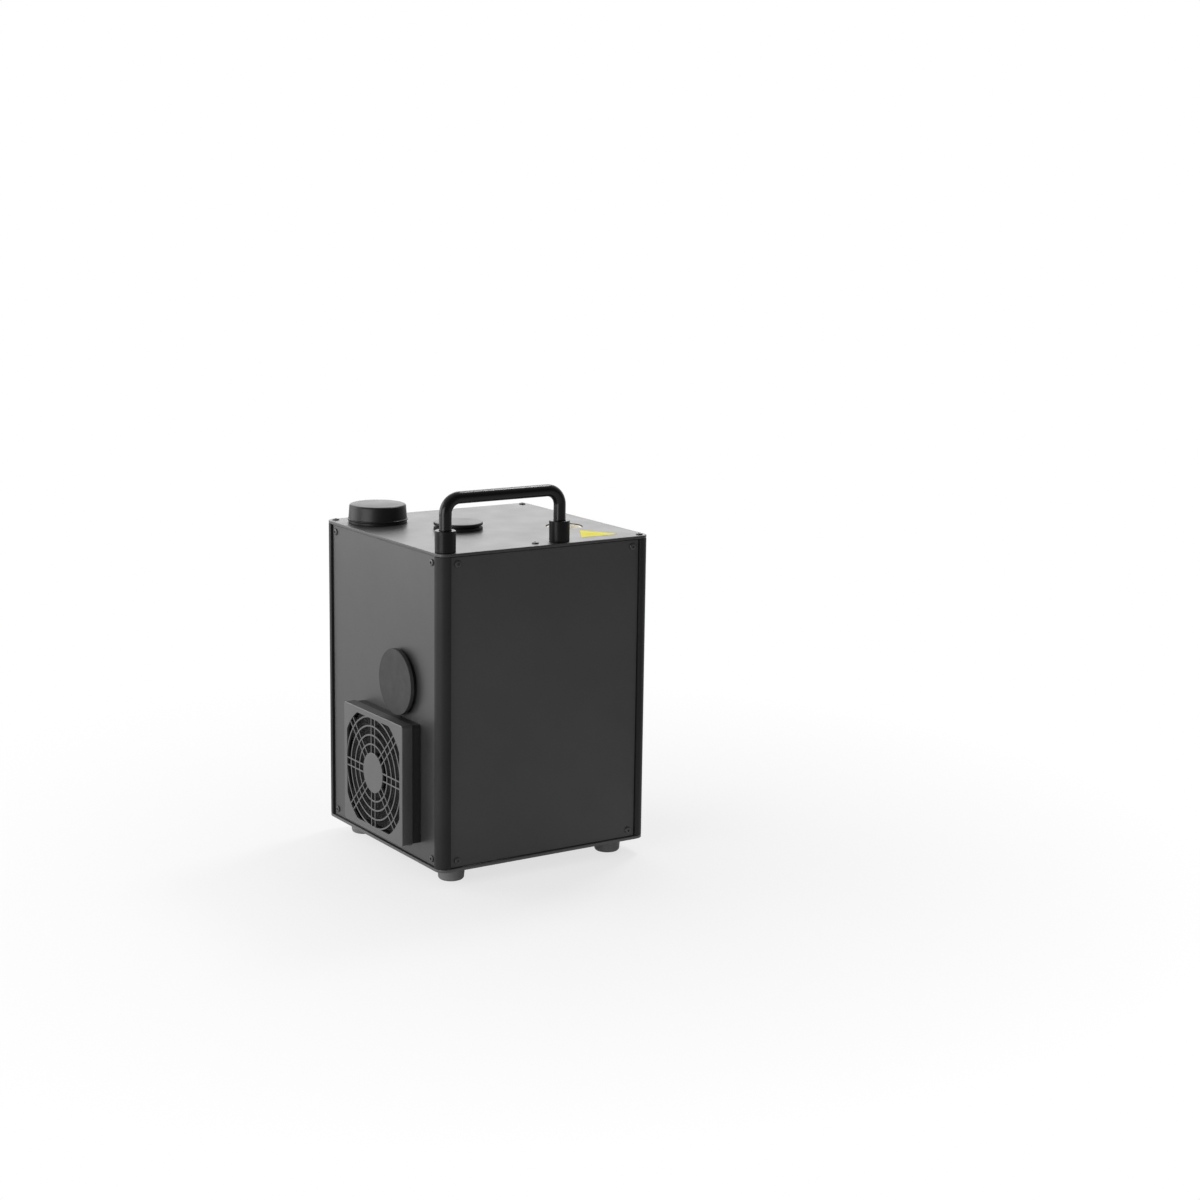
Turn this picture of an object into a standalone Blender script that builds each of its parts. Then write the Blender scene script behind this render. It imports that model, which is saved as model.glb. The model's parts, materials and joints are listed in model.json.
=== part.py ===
"""Cold spark machine: a square black metal box that throws a fountain of sparks from its top.

Metres, +Z up. The origin is on the floor, under the middle of the whole machine. The plain
front panel faces -Y, the fan filter guard is on the left side (-X), the nozzle is at the right
front of the top and the controls are on the rear (+Y). Everything hangs on one empty, the
machine frame, whose own origin is under the middle of the square housing.
"""
import math

import bmesh
import bpy
import numpy as np
from mathutils import Matrix, Vector

# Clearance between pieces that touch on the real machine
GAP = 0.0003

# How far a cutter runs past what it cuts, and how far a joined piece reaches into its neighbour
OVERRUN = 0.001
BITE = 0.0005

# Housing, outside
WIDTH = 0.240
DEPTH = 0.240
FRAME_HEIGHT = 0.314
FOOT_HEIGHT = 0.016
BASE_THICKNESS = 0.003
TOP_THICKNESS = 0.003
CORNER_RADIUS = 0.010
PLATE_CHAMFER = 0.0005

# Corner posts: an extruded angle with a lip, a screw flange and a solid core
POST_LIP = 0.012
POST_FLANGE = 0.027
POST_FLANGE_THICKNESS = 0.003
POST_CORE = 0.0165

# Sheet panels, set back between the lips
PANEL_RECESS = 0.002
PANEL_THICKNESS = 0.0015
PANEL_SEAM = 0.002
PANEL_END_SEAM = 0.0015

# Screws: head radius and height, shank radius, and how far in from the edges they sit. Each is
# one piece with the sheet that its head clamps
SCREW_HEAD_RADIUS = 0.0034
SCREW_HEAD_HEIGHT = 0.0014
SCREW_CROWN_IN = 0.0008
SCREW_RADIUS = 0.0015
PANEL_SCREW_LENGTH = 0.008
PANEL_SCREW_IN = 0.020
PANEL_SCREW_END = 0.0103
PLATE_SCREW_IN = 0.008
PLATE_SCREW_LENGTH = 0.014
FRONT_SCREW_ALONG = 0.101
FRONT_SCREW_IN = 0.013
FRONT_SCREW_PAST = 0.002

# Rubber feet, each with its screw in a recess
FOOT_IN = 0.028
FOOT_TOP_RADIUS = 0.014
FOOT_BOTTOM_RADIUS = 0.0128
FOOT_EDGE = 0.003
FOOT_EDGE_STEPS = 3
FOOT_RECESS_RADIUS = 0.005
FOOT_RECESS_DEPTH = 0.009
FOOT_SCREW_RADIUS = 0.002
FOOT_SCREW_HEAD_RADIUS = 0.004
FOOT_SCREW_HEAD_HEIGHT = 0.0022
FOOT_SCREW_PAST = 0.003

# Handle: bent round bar on two sleeves, with a threaded stud in each leg. One stud goes into the
# corner post, the other through the top plate into the nut of a backing strip
HANDLE_RADIUS = 0.006
HANDLE_SPACING = 0.128
HANDLE_IN = 0.012
HANDLE_HEIGHT = 0.0515
HANDLE_BEND = 0.015
SLEEVE_RADIUS = 0.01025
SLEEVE_HEIGHT = 0.021
SLEEVE_EDGE = 0.0006
STUD_RADIUS = 0.0025
STUD_DEPTH = 0.018
STUD_SHORT = 0.001
NUT_RADIUS = 0.0046
NUT_HEIGHT = 0.004
BACKPLATE_LENGTH = 0.105
BACKPLATE_WIDTH = 0.015
BACKPLATE_THICKNESS = 0.003
BACKPLATE_BEYOND = 0.025

# Filler: flanged neck and screw cap, over the hopper
FILLER_IN_X = 0.040
FILLER_IN_Y = 0.039
NECK_RADIUS = 0.025
NECK_WALL = 0.003
NECK_HEIGHT = 0.013
NECK_BELOW = 0.009
NECK_FLANGE_RADIUS = 0.0298
NECK_FLANGE_THICKNESS = 0.0022
CAP_BASE_RADIUS = 0.03075
CAP_TOP_RADIUS = 0.0288
CAP_RIM_HEIGHT = 0.0187
CAP_DOME = 0.0018
CAP_EDGE = 0.0018
CAP_CROWN = 0.65
CAP_THREAD_PLAY = 0.001
LINER_THICKNESS = 0.0014

# Hopper: a straight can, and a leaning funnel down to a spout over the feed tube
HOPPER_RADIUS = 0.031
HOPPER_WALL = 0.0015
HOPPER_STRAIGHT = 0.045
HOPPER_CONE = 0.065
HOPPER_SPOUT = 0.008
SPOUT_RADIUS = 0.012
OUTLET_RIGHT = 0.050
OUTLET_FORWARD = 0.038

# Feed tube with its screw, coupling, adapter and gear motor
TUBE_RADIUS = 0.012
TUBE_WALL = 0.002
TUBE_COLLAR = 0.0085
TUBE_TAIL = 0.020
AUGER_CORE = 0.0035
AUGER_PLAY = 0.0006
AUGER_PITCH = 0.020
AUGER_FLIGHT = 0.0018
AUGER_SHORT = 0.002
AUGER_SIDES = 8
FLIGHT_START = 0.003
COUPLING_RADIUS = 0.007
COUPLING_LENGTH = 0.014
COUPLING_STAND = 0.003
COUPLING_ROOM = 0.0015
ADAPTER_OVERLAP = 0.006
ADAPTER_LENGTH = 0.024
MOTOR_RADIUS = 0.0185
GEARBOX_LENGTH = 0.020
MOTOR_CAN_RADIUS = 0.014
MOTOR_CAN_LENGTH = 0.026
MOTOR_SHAFT_RADIUS = 0.0025
MOTOR_SHAFT_IN = 0.008
MOTOR_SHAFT_END = 0.001

# Nozzle and heater, one upright stack whose ceramic liner stands up into the nozzle hole
NOZZLE_IN_X = 0.046
NOZZLE_IN_Y = 0.088
NOZZLE_SINK = 0.001
NOZZLE_PLAY = 0.00045
LINER_TUBE_RADIUS = 0.0160
LINER_TUBE_WALL = 0.0023
LINER_TUBE_LENGTH = 0.124
CHAMBER_WALL = 0.0032
CHAMBER_STEP = 0.0022
CHAMBER_BELOW = 0.048
CHAMBER_FLOOR = 0.004
CHAMBER_SHORT = 0.008
AIR_HOLE_RADIUS = 0.008
BAND_THICKNESS = 0.0037
BAND_LENGTH = 0.070
BAND_ABOVE_STEP = 0.017
WRAP_THICKNESS = 0.0074
SHIELD_WALL = 0.0015
WRAP_SHORT = 0.002
SHIELD_ABOVE_STEP = 0.006
SHIELD_SHORT = 0.0027

# Blower that drives the jet: scroll, impeller, motor and duct
SCROLL_START = 0.030
SCROLL_END = 0.042
SCROLL_OUTLET = 0.024
SCROLL_THICKNESS = 0.030
SCROLL_WALL = 0.002
SCROLL_RISE = 0.058
SCROLL_FOOT = 0.050
SCROLL_INLET_RADIUS = 0.019
IMPELLER_RADIUS = 0.026
IMPELLER_EYE = 0.019
IMPELLER_WIDTH = 0.021
IMPELLER_DISC = 0.0015
IMPELLER_HUB_TOP = 0.006
IMPELLER_HUB_FOOT = 0.007
IMPELLER_HUB_SHORT = 0.004
IMPELLER_BLADES = 10
IMPELLER_BLADE = 0.001
IMPELLER_SWEEP = 0.22
IMPELLER_INSET = 0.0006
BLOWER_MOTOR_RADIUS = 0.017
BLOWER_MOTOR_LENGTH = 0.030
BLOWER_MOTOR_EDGE = 0.002
DUCT_WALL = 0.0015
DUCT_TOP_RADIUS = 0.014

# Fan filter guard and cooling fan on the left side, both made to the fan's size
GUARD_IN_Y = 0.1025
GUARD_LOW = 0.035
GUARD_BASE_DEPTH = 0.009
GUARD_BASE_FLOOR = 0.0024
GUARD_BASE_WALL = 0.0022
GUARD_COVER_LAP = 0.001
GUARD_COVER_DEPTH = 0.0115
GUARD_COVER_WALL = 0.0025
GUARD_FACE = 0.0025
GUARD_CORNER = 0.003
GUARD_EDGE = 0.0008
GUARD_INNER_CORNER = 0.001
GRILLE_SINK = 0.0002
GRILLE_BORDER = 0.006
GRILLE_CORNER_BEYOND = 0.007
GRILLE_HUB_RADIUS = 0.0204
GRILLE_RINGS = 4
GRILLE_RING_START = 0.0289
GRILLE_RING_BEYOND = 0.0014
GRILLE_RIB = 0.0013
GRILLE_SPOKE = 0.0011
GRILLE_SPOKE_PAIRS = 8
GRILLE_PAIR_SPACING = 0.0075
CLIP_WIDTH = 0.012
CLIP_THICKNESS = 0.0013
CLIP_REACH = 0.005
CLIP_ROOT_LOW = 0.0005
CLIP_ROOT_HIGH = 0.003
CLIP_INSET = 0.0002
FOAM_THICKNESS = 0.012
FOAM_PLAY = 0.0033
FOAM_CORNER_CUT = 0.018
FAN_SIZE = 0.120
FAN_DEPTH = 0.025
FAN_RIM = 0.0035
FAN_SCREW_IN = 0.0075
FAN_SCREW_RADIUS = 0.0019
FAN_SCREW_HEAD_RADIUS = 0.0036
FAN_SCREW_HEAD_HEIGHT = 0.0022
FAN_SCREW_SHORT = 0.004
FAN_CORNER = 0.005
FAN_HUB_RADIUS = 0.020
FAN_HUB_EDGE = 0.0015
FAN_HUB_SHORT = 0.0025
FAN_STRUT = 0.005
FAN_STRUT_THICKNESS = 0.003
FAN_STRUT_SINK = 0.0003
FAN_STRUTS = 4
FAN_TIP_PLAY = 0.0015
FAN_BLADES = 7
FAN_BLADE_CHORD = 0.030
FAN_ROOT_CHORD = 0.0186
FAN_BLADE_THICKNESS = 0.0025
FAN_BLADE_ROOT = 0.002
FAN_ROOT_PITCH = 50.0
FAN_TIP_PITCH = 28.0
FAN_SWEEP = 0.25
FAN_AXLE_RADIUS = 0.0015

# Round plugs: one on the left side above the guard, one on the top
SIDE_PLUG_FORWARD = 0.021
SIDE_PLUG_ABOVE = 0.0015
SIDE_PLUG_RADIUS = 0.033
SIDE_PLUG_DISC = 0.0040
SIDE_PLUG_EDGE = 0.0005
SIDE_PLUG_NECK = 0.029
SIDE_RING_RADIUS = 0.0305
SIDE_RING_FLANGE = 0.0014
SIDE_RING_BORE = 0.026
SIDE_RING_SPIGOT = 0.028
SIDE_PLUG_DEPTH = 0.012
TOP_PLUG_X = -0.029
TOP_PLUG_Y = 0.005
TOP_PLUG_RADIUS = 0.025
TOP_PLUG_DISC = 0.003
TOP_PLUG_EDGE = 0.0008
TOP_PLUG_NECK = 0.021
TOP_RING_RADIUS = 0.0248
TOP_RING_FLANGE = 0.0026
TOP_RING_BORE = 0.019
TOP_RING_SPIGOT = 0.0212
TOP_PLUG_DEPTH = 0.010
PLUG_GROOVE = 0.0015
RING_BELOW = 0.005

# Rear controls, placed by x across the housing and z above the floor
DISPLAY_X = 0.025
DISPLAY_Z = 0.272
DISPLAY_WIDTH = 0.064
DISPLAY_HEIGHT = 0.026
DISPLAY_MARGIN = 0.004
WINDOW_THICKNESS = 0.0015
WINDOW_CORNER = 0.002
BUTTON_COUNT = 4
BUTTON_PITCH = 0.018
BUTTON_DROP = 0.030
BUTTON_RADIUS = 0.0042
BUTTON_EDGE = 0.0005
BUTTON_PLAY = 0.0004
BUTTON_PROUD = 0.0022
BUTTON_COLLAR = 0.0012
BUTTON_COLLAR_WIDTH = 0.0012
BUTTON_STEM = 0.003
BUTTON_STEM_RADIUS = 0.002
BUTTON_TRAVEL = 0.001
BUTTON_SIDES = 8
SWITCH_SIZE = 0.006
BOARD_WIDTH = 0.084
BOARD_HEIGHT = 0.066
BOARD_THICKNESS = 0.0016
BOARD_STANDOFF = 0.011
STANDOFF_RADIUS = 0.003
MODULE_X = -0.050
MODULE_Z = 0.101
MODULE_WIDTH = 0.048
MODULE_HEIGHT = 0.050
MODULE_BODY_WIDTH = 0.0285
MODULE_BODY_HEIGHT = 0.0465
MODULE_BODY_DEPTH = 0.026
MODULE_CORNER = 0.004
CONNECTOR_FLANGE = 0.002
INLET_WIDTH = 0.024
INLET_HEIGHT = 0.0165
INLET_CORNER = 0.004
INLET_DEPTH = 0.0175
INLET_DROP = 0.0130
PIN_WIDTH = 0.002
PIN_HEIGHT = 0.0045
PIN_ACROSS = 0.007
PIN_UP = 0.002
PIN_SHORT = 0.006
DRAWER_WIDTH = 0.022
DRAWER_HEIGHT = 0.0068
DRAWER_DEPTH = 0.018
DRAWER_LIP = 0.0025
DRAWER_LIP_BORDER = 0.0009
DRAWER_LIP_CORNER = 0.001
DRAWER_RISE = 0.0016
ROCKER_WIDTH = 0.0194
ROCKER_RADIUS = 0.0062
ROCKER_RISE = 0.0143
ROCKER_PLAY = 0.0005
ROCKER_PIVOT_DEPTH = 0.003
ROCKER_CREST = 0.0045
ROCKER_CREST_IN = 0.0007
ROCKER_VALLEY = 0.0032
ROCKER_TILT = 10.0
SIGNAL_IN_X = 0.055
SIGNAL_OUT_X = 0.015
SIGNAL_Z = 0.171
SIGNAL_WIDTH = 0.026
SIGNAL_HEIGHT = 0.031
SIGNAL_CORNER = 0.003
SIGNAL_BODY_RADIUS = 0.0116
SIGNAL_BODY_DEPTH = 0.022
SIGNAL_CAVITY_RADIUS = 0.0079
SIGNAL_CAVITY_DEPTH = 0.014
SIGNAL_PIN_RADIUS = 0.0012
SIGNAL_PIN_CIRCLE = 0.004
SIGNAL_PIN_SHORT = 0.0045
SIGNAL_SLOT = 0.0011
LATCH_WIDTH = 0.006
LATCH_HEIGHT = 0.0022
LATCH_RISE = 0.0095
LATCH_DEPTH = 0.004
LATCH_PROUD = 0.0018
LATCH_TRAVEL = 0.0015
VENT_SLOTS = 8
VENT_PITCH = 0.009
VENT_WIDTH = 0.003
VENT_LENGTH = 0.040
VENT_X = 0.055
VENT_Z = 0.086

# Power supply against the right panel
SUPPLY_WIDTH = 0.038
SUPPLY_DEPTH = 0.080
SUPPLY_HEIGHT = 0.130
SUPPLY_WALL = 0.0012
SUPPLY_IN_Y = 0.072

# Facets round a circle, by how large it is
FINE = 24
MEDIUM = 14
COARSE = 10
TINY = 6

# Facets round a quarter turn of the housing's corners, and of the handle's bends
CORNER_STEPS = 4
BEND_STEPS = 4

# Heights and depths that the sizes above lead to
BASE_TOP = FOOT_HEIGHT + BASE_THICKNESS
TOP_FACE = FOOT_HEIGHT + FRAME_HEIGHT
TOP_UNDER = TOP_FACE - TOP_THICKNESS
PANEL_BACK = PANEL_RECESS + PANEL_THICKNESS
POST_SEAT = PANEL_BACK + GAP
BORE_PLAY = GAP
NECK_FLANGE_TOP = GAP + NECK_FLANGE_THICKNESS
LINER_TOP = TOP_FACE - NOZZLE_SINK
STEP_Z = LINER_TOP - LINER_TUBE_LENGTH
NOZZLE_HOLE_RADIUS = LINER_TUBE_RADIUS + LINER_TUBE_WALL + NOZZLE_PLAY
CHAMBER_INNER = LINER_TUBE_RADIUS + LINER_TUBE_WALL + GAP
CHAMBER_RADIUS = CHAMBER_INNER + CHAMBER_WALL
CHAMBER_BOTTOM = STEP_Z - GAP - CHAMBER_BELOW
OUTLET_Z = TOP_UNDER - GAP - HOPPER_STRAIGHT - HOPPER_CONE
SPOUT_BOTTOM = OUTLET_Z - HOPPER_SPOUT
FEED_Z = SPOUT_BOTTOM - GAP - TUBE_COLLAR - TUBE_RADIUS
FILLER_X = FILLER_IN_X - WIDTH / 2
FILLER_Y = DEPTH / 2 - FILLER_IN_Y
OUTLET_X = FILLER_X + OUTLET_RIGHT
OUTLET_Y = FILLER_Y - OUTLET_FORWARD
NOZZLE_X = WIDTH / 2 - NOZZLE_IN_X
NOZZLE_Y = NOZZLE_IN_Y - DEPTH / 2
FEED_VECTOR = Vector((NOZZLE_X - OUTLET_X, NOZZLE_Y - OUTLET_Y, 0))
FEED_LENGTH = FEED_VECTOR.length
FEED_WAY = FEED_VECTOR.normalized()
BLOWER_X = NOZZLE_X - SCROLL_END + SCROLL_OUTLET / 2
BLOWER_Z = BASE_TOP + GAP + SCROLL_END
FAN_BORE_RADIUS = FAN_SIZE / 2 - FAN_RIM
GUARD_BASE_SIZE = FAN_SIZE
GUARD_COVER_SIZE = GUARD_BASE_SIZE + 2 * GUARD_COVER_LAP
GUARD_Y = GUARD_IN_Y - DEPTH / 2
GUARD_Z = GUARD_LOW + GUARD_COVER_SIZE / 2
GRILLE_OPENING = GUARD_COVER_SIZE / 2 - GRILLE_BORDER
GRILLE_CORNER_RADIUS = GRILLE_OPENING + GRILLE_CORNER_BEYOND
SIDE_PLUG_Y = GUARD_Y - SIDE_PLUG_FORWARD
SIDE_PLUG_Z = GUARD_Z + GUARD_COVER_SIZE / 2 + SIDE_PLUG_ABOVE + SIDE_PLUG_RADIUS
GUARD_BACK = -PANEL_RECESS + GAP
GUARD_SPLIT = GUARD_BACK + GUARD_BASE_DEPTH
GUARD_PROUD = GUARD_SPLIT + GAP + GUARD_COVER_DEPTH
FLANGE_FRONT = -PANEL_RECESS + GAP + CONNECTOR_FLANGE
REAR_PROUD = FLANGE_FRONT + GAP + DRAWER_LIP

# The guard stands out on the left and the fuse drawer at the rear, so the housing is off the
# middle of the whole machine by half of each
HOUSING_X = GUARD_PROUD / 2
HOUSING_Y = -REAR_PROUD / 2

# Turns of the four sides: local +Z looks out of the side, local +Y stays up
SIDES = {
    "front": (Matrix(((1, 0, 0), (0, 0, -1), (0, 1, 0))), DEPTH / 2, WIDTH / 2),
    "right": (Matrix(((0, 0, 1), (1, 0, 0), (0, 1, 0))), WIDTH / 2, DEPTH / 2),
    "rear": (Matrix(((-1, 0, 0), (0, 0, 1), (0, 1, 0))), DEPTH / 2, WIDTH / 2),
    "left": (Matrix(((0, 0, -1), (-1, 0, 0), (0, 1, 0))), WIDTH / 2, DEPTH / 2),
}

# Names of the corners, in the order of corner_points
CORNERS = ("front_left", "front_right", "rear_right", "rear_left")

# Colour, roughness and metallic value of each finish
FINISHES = {
    "black_paint": ((0.035, 0.035, 0.037), 0.55, 0.0),
    "black_plastic": ((0.02, 0.02, 0.021), 0.45, 0.0),
    "grey_plastic": ((0.07, 0.07, 0.072), 0.6, 0.0),
    "rubber": ((0.025, 0.025, 0.025), 0.85, 0.0),
    "black_steel": ((0.03, 0.03, 0.03), 0.35, 0.8),
    "steel": ((0.55, 0.55, 0.56), 0.35, 1.0),
    "aluminium": ((0.7, 0.7, 0.72), 0.4, 1.0),
    "ceramic": ((0.85, 0.8, 0.68), 0.8, 0.0),
    "foam": ((0.012, 0.012, 0.012), 0.95, 0.0),
    "glass": ((0.02, 0.03, 0.04), 0.1, 0.0),
    "board": ((0.02, 0.12, 0.05), 0.5, 0.0),
}


def clear_scene():
    """Take away whatever the file holds."""
    for old in list(bpy.data.objects):
        bpy.data.objects.remove(old, do_unlink=True)


def finish_material(finish):
    """A plain Principled material of one finish, its own for each piece."""
    colour, roughness, metallic = FINISHES[finish]
    made = bpy.data.materials.new(finish)
    made.use_nodes = True
    shader = made.node_tree.nodes["Principled BSDF"]
    shader.inputs["Base Color"].default_value = (*colour, 1.0)
    shader.inputs["Roughness"].default_value = roughness
    shader.inputs["Metallic"].default_value = metallic
    return made


def moved(piece, place):
    """A copy of a piece, carried by a matrix."""
    verts, faces = piece
    return [place @ Vector(point) for point in verts], faces


def at(x=0.0, y=0.0, z=0.0):
    """A plain shift."""
    return Matrix.Translation((x, y, z))


def side_place(side, across=0.0, up=0.0, out=0.0):
    """Place on a side: across to its right, up from the floor, out from the posts' face."""
    turn, reach, _ = SIDES[side]
    outward = turn @ Vector((0, 0, reach))
    return at(*outward) @ turn.to_4x4() @ at(across, up, out)


def feed_place(along=0.0):
    """Place on the feed line, local +Z running from the hopper's outlet to the nozzle."""
    across = Vector((0, 0, 1)).cross(FEED_WAY)
    turn = Matrix((across, Vector((0, 0, 1)), FEED_WAY)).transposed()
    start = Vector((OUTLET_X, OUTLET_Y, FEED_Z))
    return at(*start) @ turn.to_4x4() @ at(0, 0, along)


def arc(x, y, radius, start, end, steps):
    """Points on an arc, angles in degrees, both ends included."""
    turns = np.radians(np.linspace(start, end, steps + 1))
    return [(x + radius * math.cos(a), y + radius * math.sin(a)) for a in turns]


def circle(x, y, radius, sides):
    """Points once round a circle."""
    return arc(x, y, radius, 0, 360, sides)[:-1]


def rounded(width, height, radius, steps=3):
    """A rounded rectangle about the origin, as points."""
    x = width / 2 - radius
    y = height / 2 - radius
    points = []
    for sx, sy, start in ((1, 1, 0), (-1, 1, 90), (-1, -1, 180), (1, -1, 270)):
        points += arc(sx * x, sy * y, radius, start, start + 90, steps)
    return points


def rectangle(width, height):
    """A plain rectangle about the origin, as points."""
    x = width / 2
    y = height / 2
    return [(x, y), (-x, y), (-x, -y), (x, -y)]


def shifted(points, x, y):
    """The same outline, moved."""
    return [(px + x, py + y) for px, py in points]


def loft(rings, closed=False):
    """Skin through rings of equal count; closed joins the last to the first, else ends are capped."""
    count = len(rings[0])
    verts = [point for ring in rings for point in ring]
    faces = []
    spans = len(rings) if closed else len(rings) - 1
    for i in range(spans):
        low = i * count
        high = ((i + 1) % len(rings)) * count
        for j in range(count):
            k = (j + 1) % count
            faces.append((low + j, low + k, high + k, high + j))
    if not closed:
        faces.append(tuple(range(count)))
        faces.append(tuple(range((len(rings) - 1) * count, len(rings) * count)))
    return verts, faces


def prism(outline, low, high):
    """An outline raised from low to high."""
    return loft([[(x, y, z) for x, y in outline] for z in (low, high)])


def stack(layers):
    """A solid through outlines at rising heights: a list of (outline, height)."""
    return loft([[(x, y, z) for x, y in outline] for outline, z in layers])


def lathe(profile, sides):
    """A profile of (radius, height) turned about Z; ends off the axis mean a ring, closed on itself."""
    closed = profile[0][0] > 0 and profile[-1][0] > 0
    verts = []
    rows = []
    for radius, height in profile:
        if radius == 0:
            rows.append([len(verts)] * sides)
            verts.append((0, 0, height))
            continue
        rows.append(list(range(len(verts), len(verts) + sides)))
        verts += [(x, y, height) for x, y in circle(0, 0, radius, sides)]
    faces = []
    spans = len(rows) if closed else len(rows) - 1
    for i in range(spans):
        low = rows[i]
        high = rows[(i + 1) % len(rows)]
        for j in range(sides):
            k = (j + 1) % sides
            corners = [low[j], low[k], high[k], high[j]]
            face = [c for n, c in enumerate(corners) if c not in corners[:n]]
            if len(face) > 2:
                faces.append(tuple(face))
    return verts, faces


def rod(radius, low, high, sides=TINY):
    """A plain round rod along Z."""
    return prism(circle(0, 0, radius, sides), low, high)


def make_mesh(name, pieces):
    """One mesh from several closed pieces, faces pointing out."""
    mesh = bpy.data.meshes.new(name)
    shape = bmesh.new()
    for verts, faces in pieces:
        corners = [shape.verts.new(point) for point in verts]
        for face in faces:
            shape.faces.new([corners[i] for i in face])
    bmesh.ops.recalc_face_normals(shape, faces=shape.faces)
    shape.to_mesh(mesh)
    shape.free()
    mesh.shade_smooth()
    mesh.set_sharp_from_angle(angle=math.radians(35))
    return mesh


def hang(name, mesh, place):
    """An object on the machine frame, at its place."""
    made = bpy.data.objects.new(name, mesh)
    bpy.context.scene.collection.objects.link(made)
    made.parent = bpy.data.objects["machine_frame"]
    made.matrix_basis = place
    return made


def solid(name, pieces, finish, place=None):
    """A sub-part: named, finished and placed."""
    made = hang(name, make_mesh(name, pieces), place or Matrix())
    made.data.materials.append(finish_material(finish))
    return made


def operate(target, pieces, operation, crossing):
    """A Boolean with a hidden tool that stands where the target stands."""
    count = len(target.modifiers)
    tool = hang(f"{target.name}_tool_{count}", make_mesh("tool", pieces), target.matrix_basis)
    tool.hide_render = True
    tool.display_type = "WIRE"
    step = target.modifiers.new(operation.lower(), "BOOLEAN")
    step.operation = operation
    step.solver = "EXACT"
    step.use_self = crossing
    step.object = tool


def cut(target, pieces, crossing=False):
    """Take the pieces out of the target."""
    operate(target, pieces, "DIFFERENCE", crossing)


def fuse(target, pieces, crossing=False):
    """Join the pieces onto the target."""
    operate(target, pieces, "UNION", crossing)


def screw(radius, length, head_radius=SCREW_HEAD_RADIUS, head=SCREW_HEAD_HEIGHT):
    """A low round-headed screw for joining to a sheet at z = 0: its rim bites a little below that."""
    return lathe([(0, head), (head_radius - SCREW_CROWN_IN, head), (head_radius, -BITE),
                  (radius, -BITE), (radius, -length), (0, -length)], TINY)


def corner_points(inset):
    """The four points at one distance in from both edges of the housing."""
    x = WIDTH / 2 - inset
    y = DEPTH / 2 - inset
    return [(-x, -y), (x, -y), (x, y), (-x, y)]


def panel_screw_heights():
    """Heights of the two rows of panel screws."""
    return FOOT_HEIGHT + PANEL_SCREW_END, TOP_FACE - PANEL_SCREW_END


def post_outline():
    """The post's section, measured in from the housing's outer corner."""
    back = POST_SEAT + POST_FLANGE_THICKNESS
    points = arc(CORNER_RADIUS, CORNER_RADIUS, CORNER_RADIUS, 270, 180, CORNER_STEPS)
    half = [(0, POST_LIP), (POST_SEAT, POST_LIP), (POST_SEAT, POST_FLANGE), (back, POST_FLANGE),
            (back, POST_CORE)]
    return points + half + [(POST_CORE, POST_CORE)] + [(y, x) for x, y in reversed(half)]


def build_posts():
    """Four corner posts with bores for the plate screws, the handle stud and the panel screws."""
    low = BASE_TOP + GAP
    high = TOP_UNDER - GAP
    bore = SCREW_RADIUS + BORE_PLAY
    for name, (x, y) in zip(CORNERS, corner_points(0.0)):
        sx = -math.copysign(1, x)
        sy = -math.copysign(1, y)
        outline = [(x + sx * u, y + sy * v) for u, v in post_outline()]
        post = solid(f"post_{name}", [prism(outline, low, high)], "black_paint")
        screw_in = at(x + sx * PLATE_SCREW_IN, y + sy * PLATE_SCREW_IN)
        tools = [moved(rod(bore, low - OVERRUN, low + PLATE_SCREW_LENGTH), screw_in)]
        if name == "front_left":
            stud_in = at(x + sx * HANDLE_IN, y + sy * HANDLE_IN)
            stud_bore = rod(STUD_RADIUS + BORE_PLAY, high - STUD_DEPTH, high + OVERRUN)
            tools.append(moved(stud_bore, stud_in))
        else:
            tools.append(moved(rod(bore, high - PLATE_SCREW_LENGTH, high + OVERRUN), screw_in))
        deep = POST_SEAT + POST_FLANGE_THICKNESS + OVERRUN
        quarter = math.radians(90)
        across = Matrix.Rotation(quarter, 4, "Y") @ Matrix.Rotation(quarter, 4, "Z")
        along = Matrix.Rotation(quarter, 4, "X")
        reach = rod(bore, -deep, deep)
        for z in panel_screw_heights():
            tools.append(moved(reach, at(x, y + sy * PANEL_SCREW_IN, z) @ across))
            tools.append(moved(reach, at(x + sx * PANEL_SCREW_IN, y, z) @ along))
        cut(post, tools)


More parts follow.
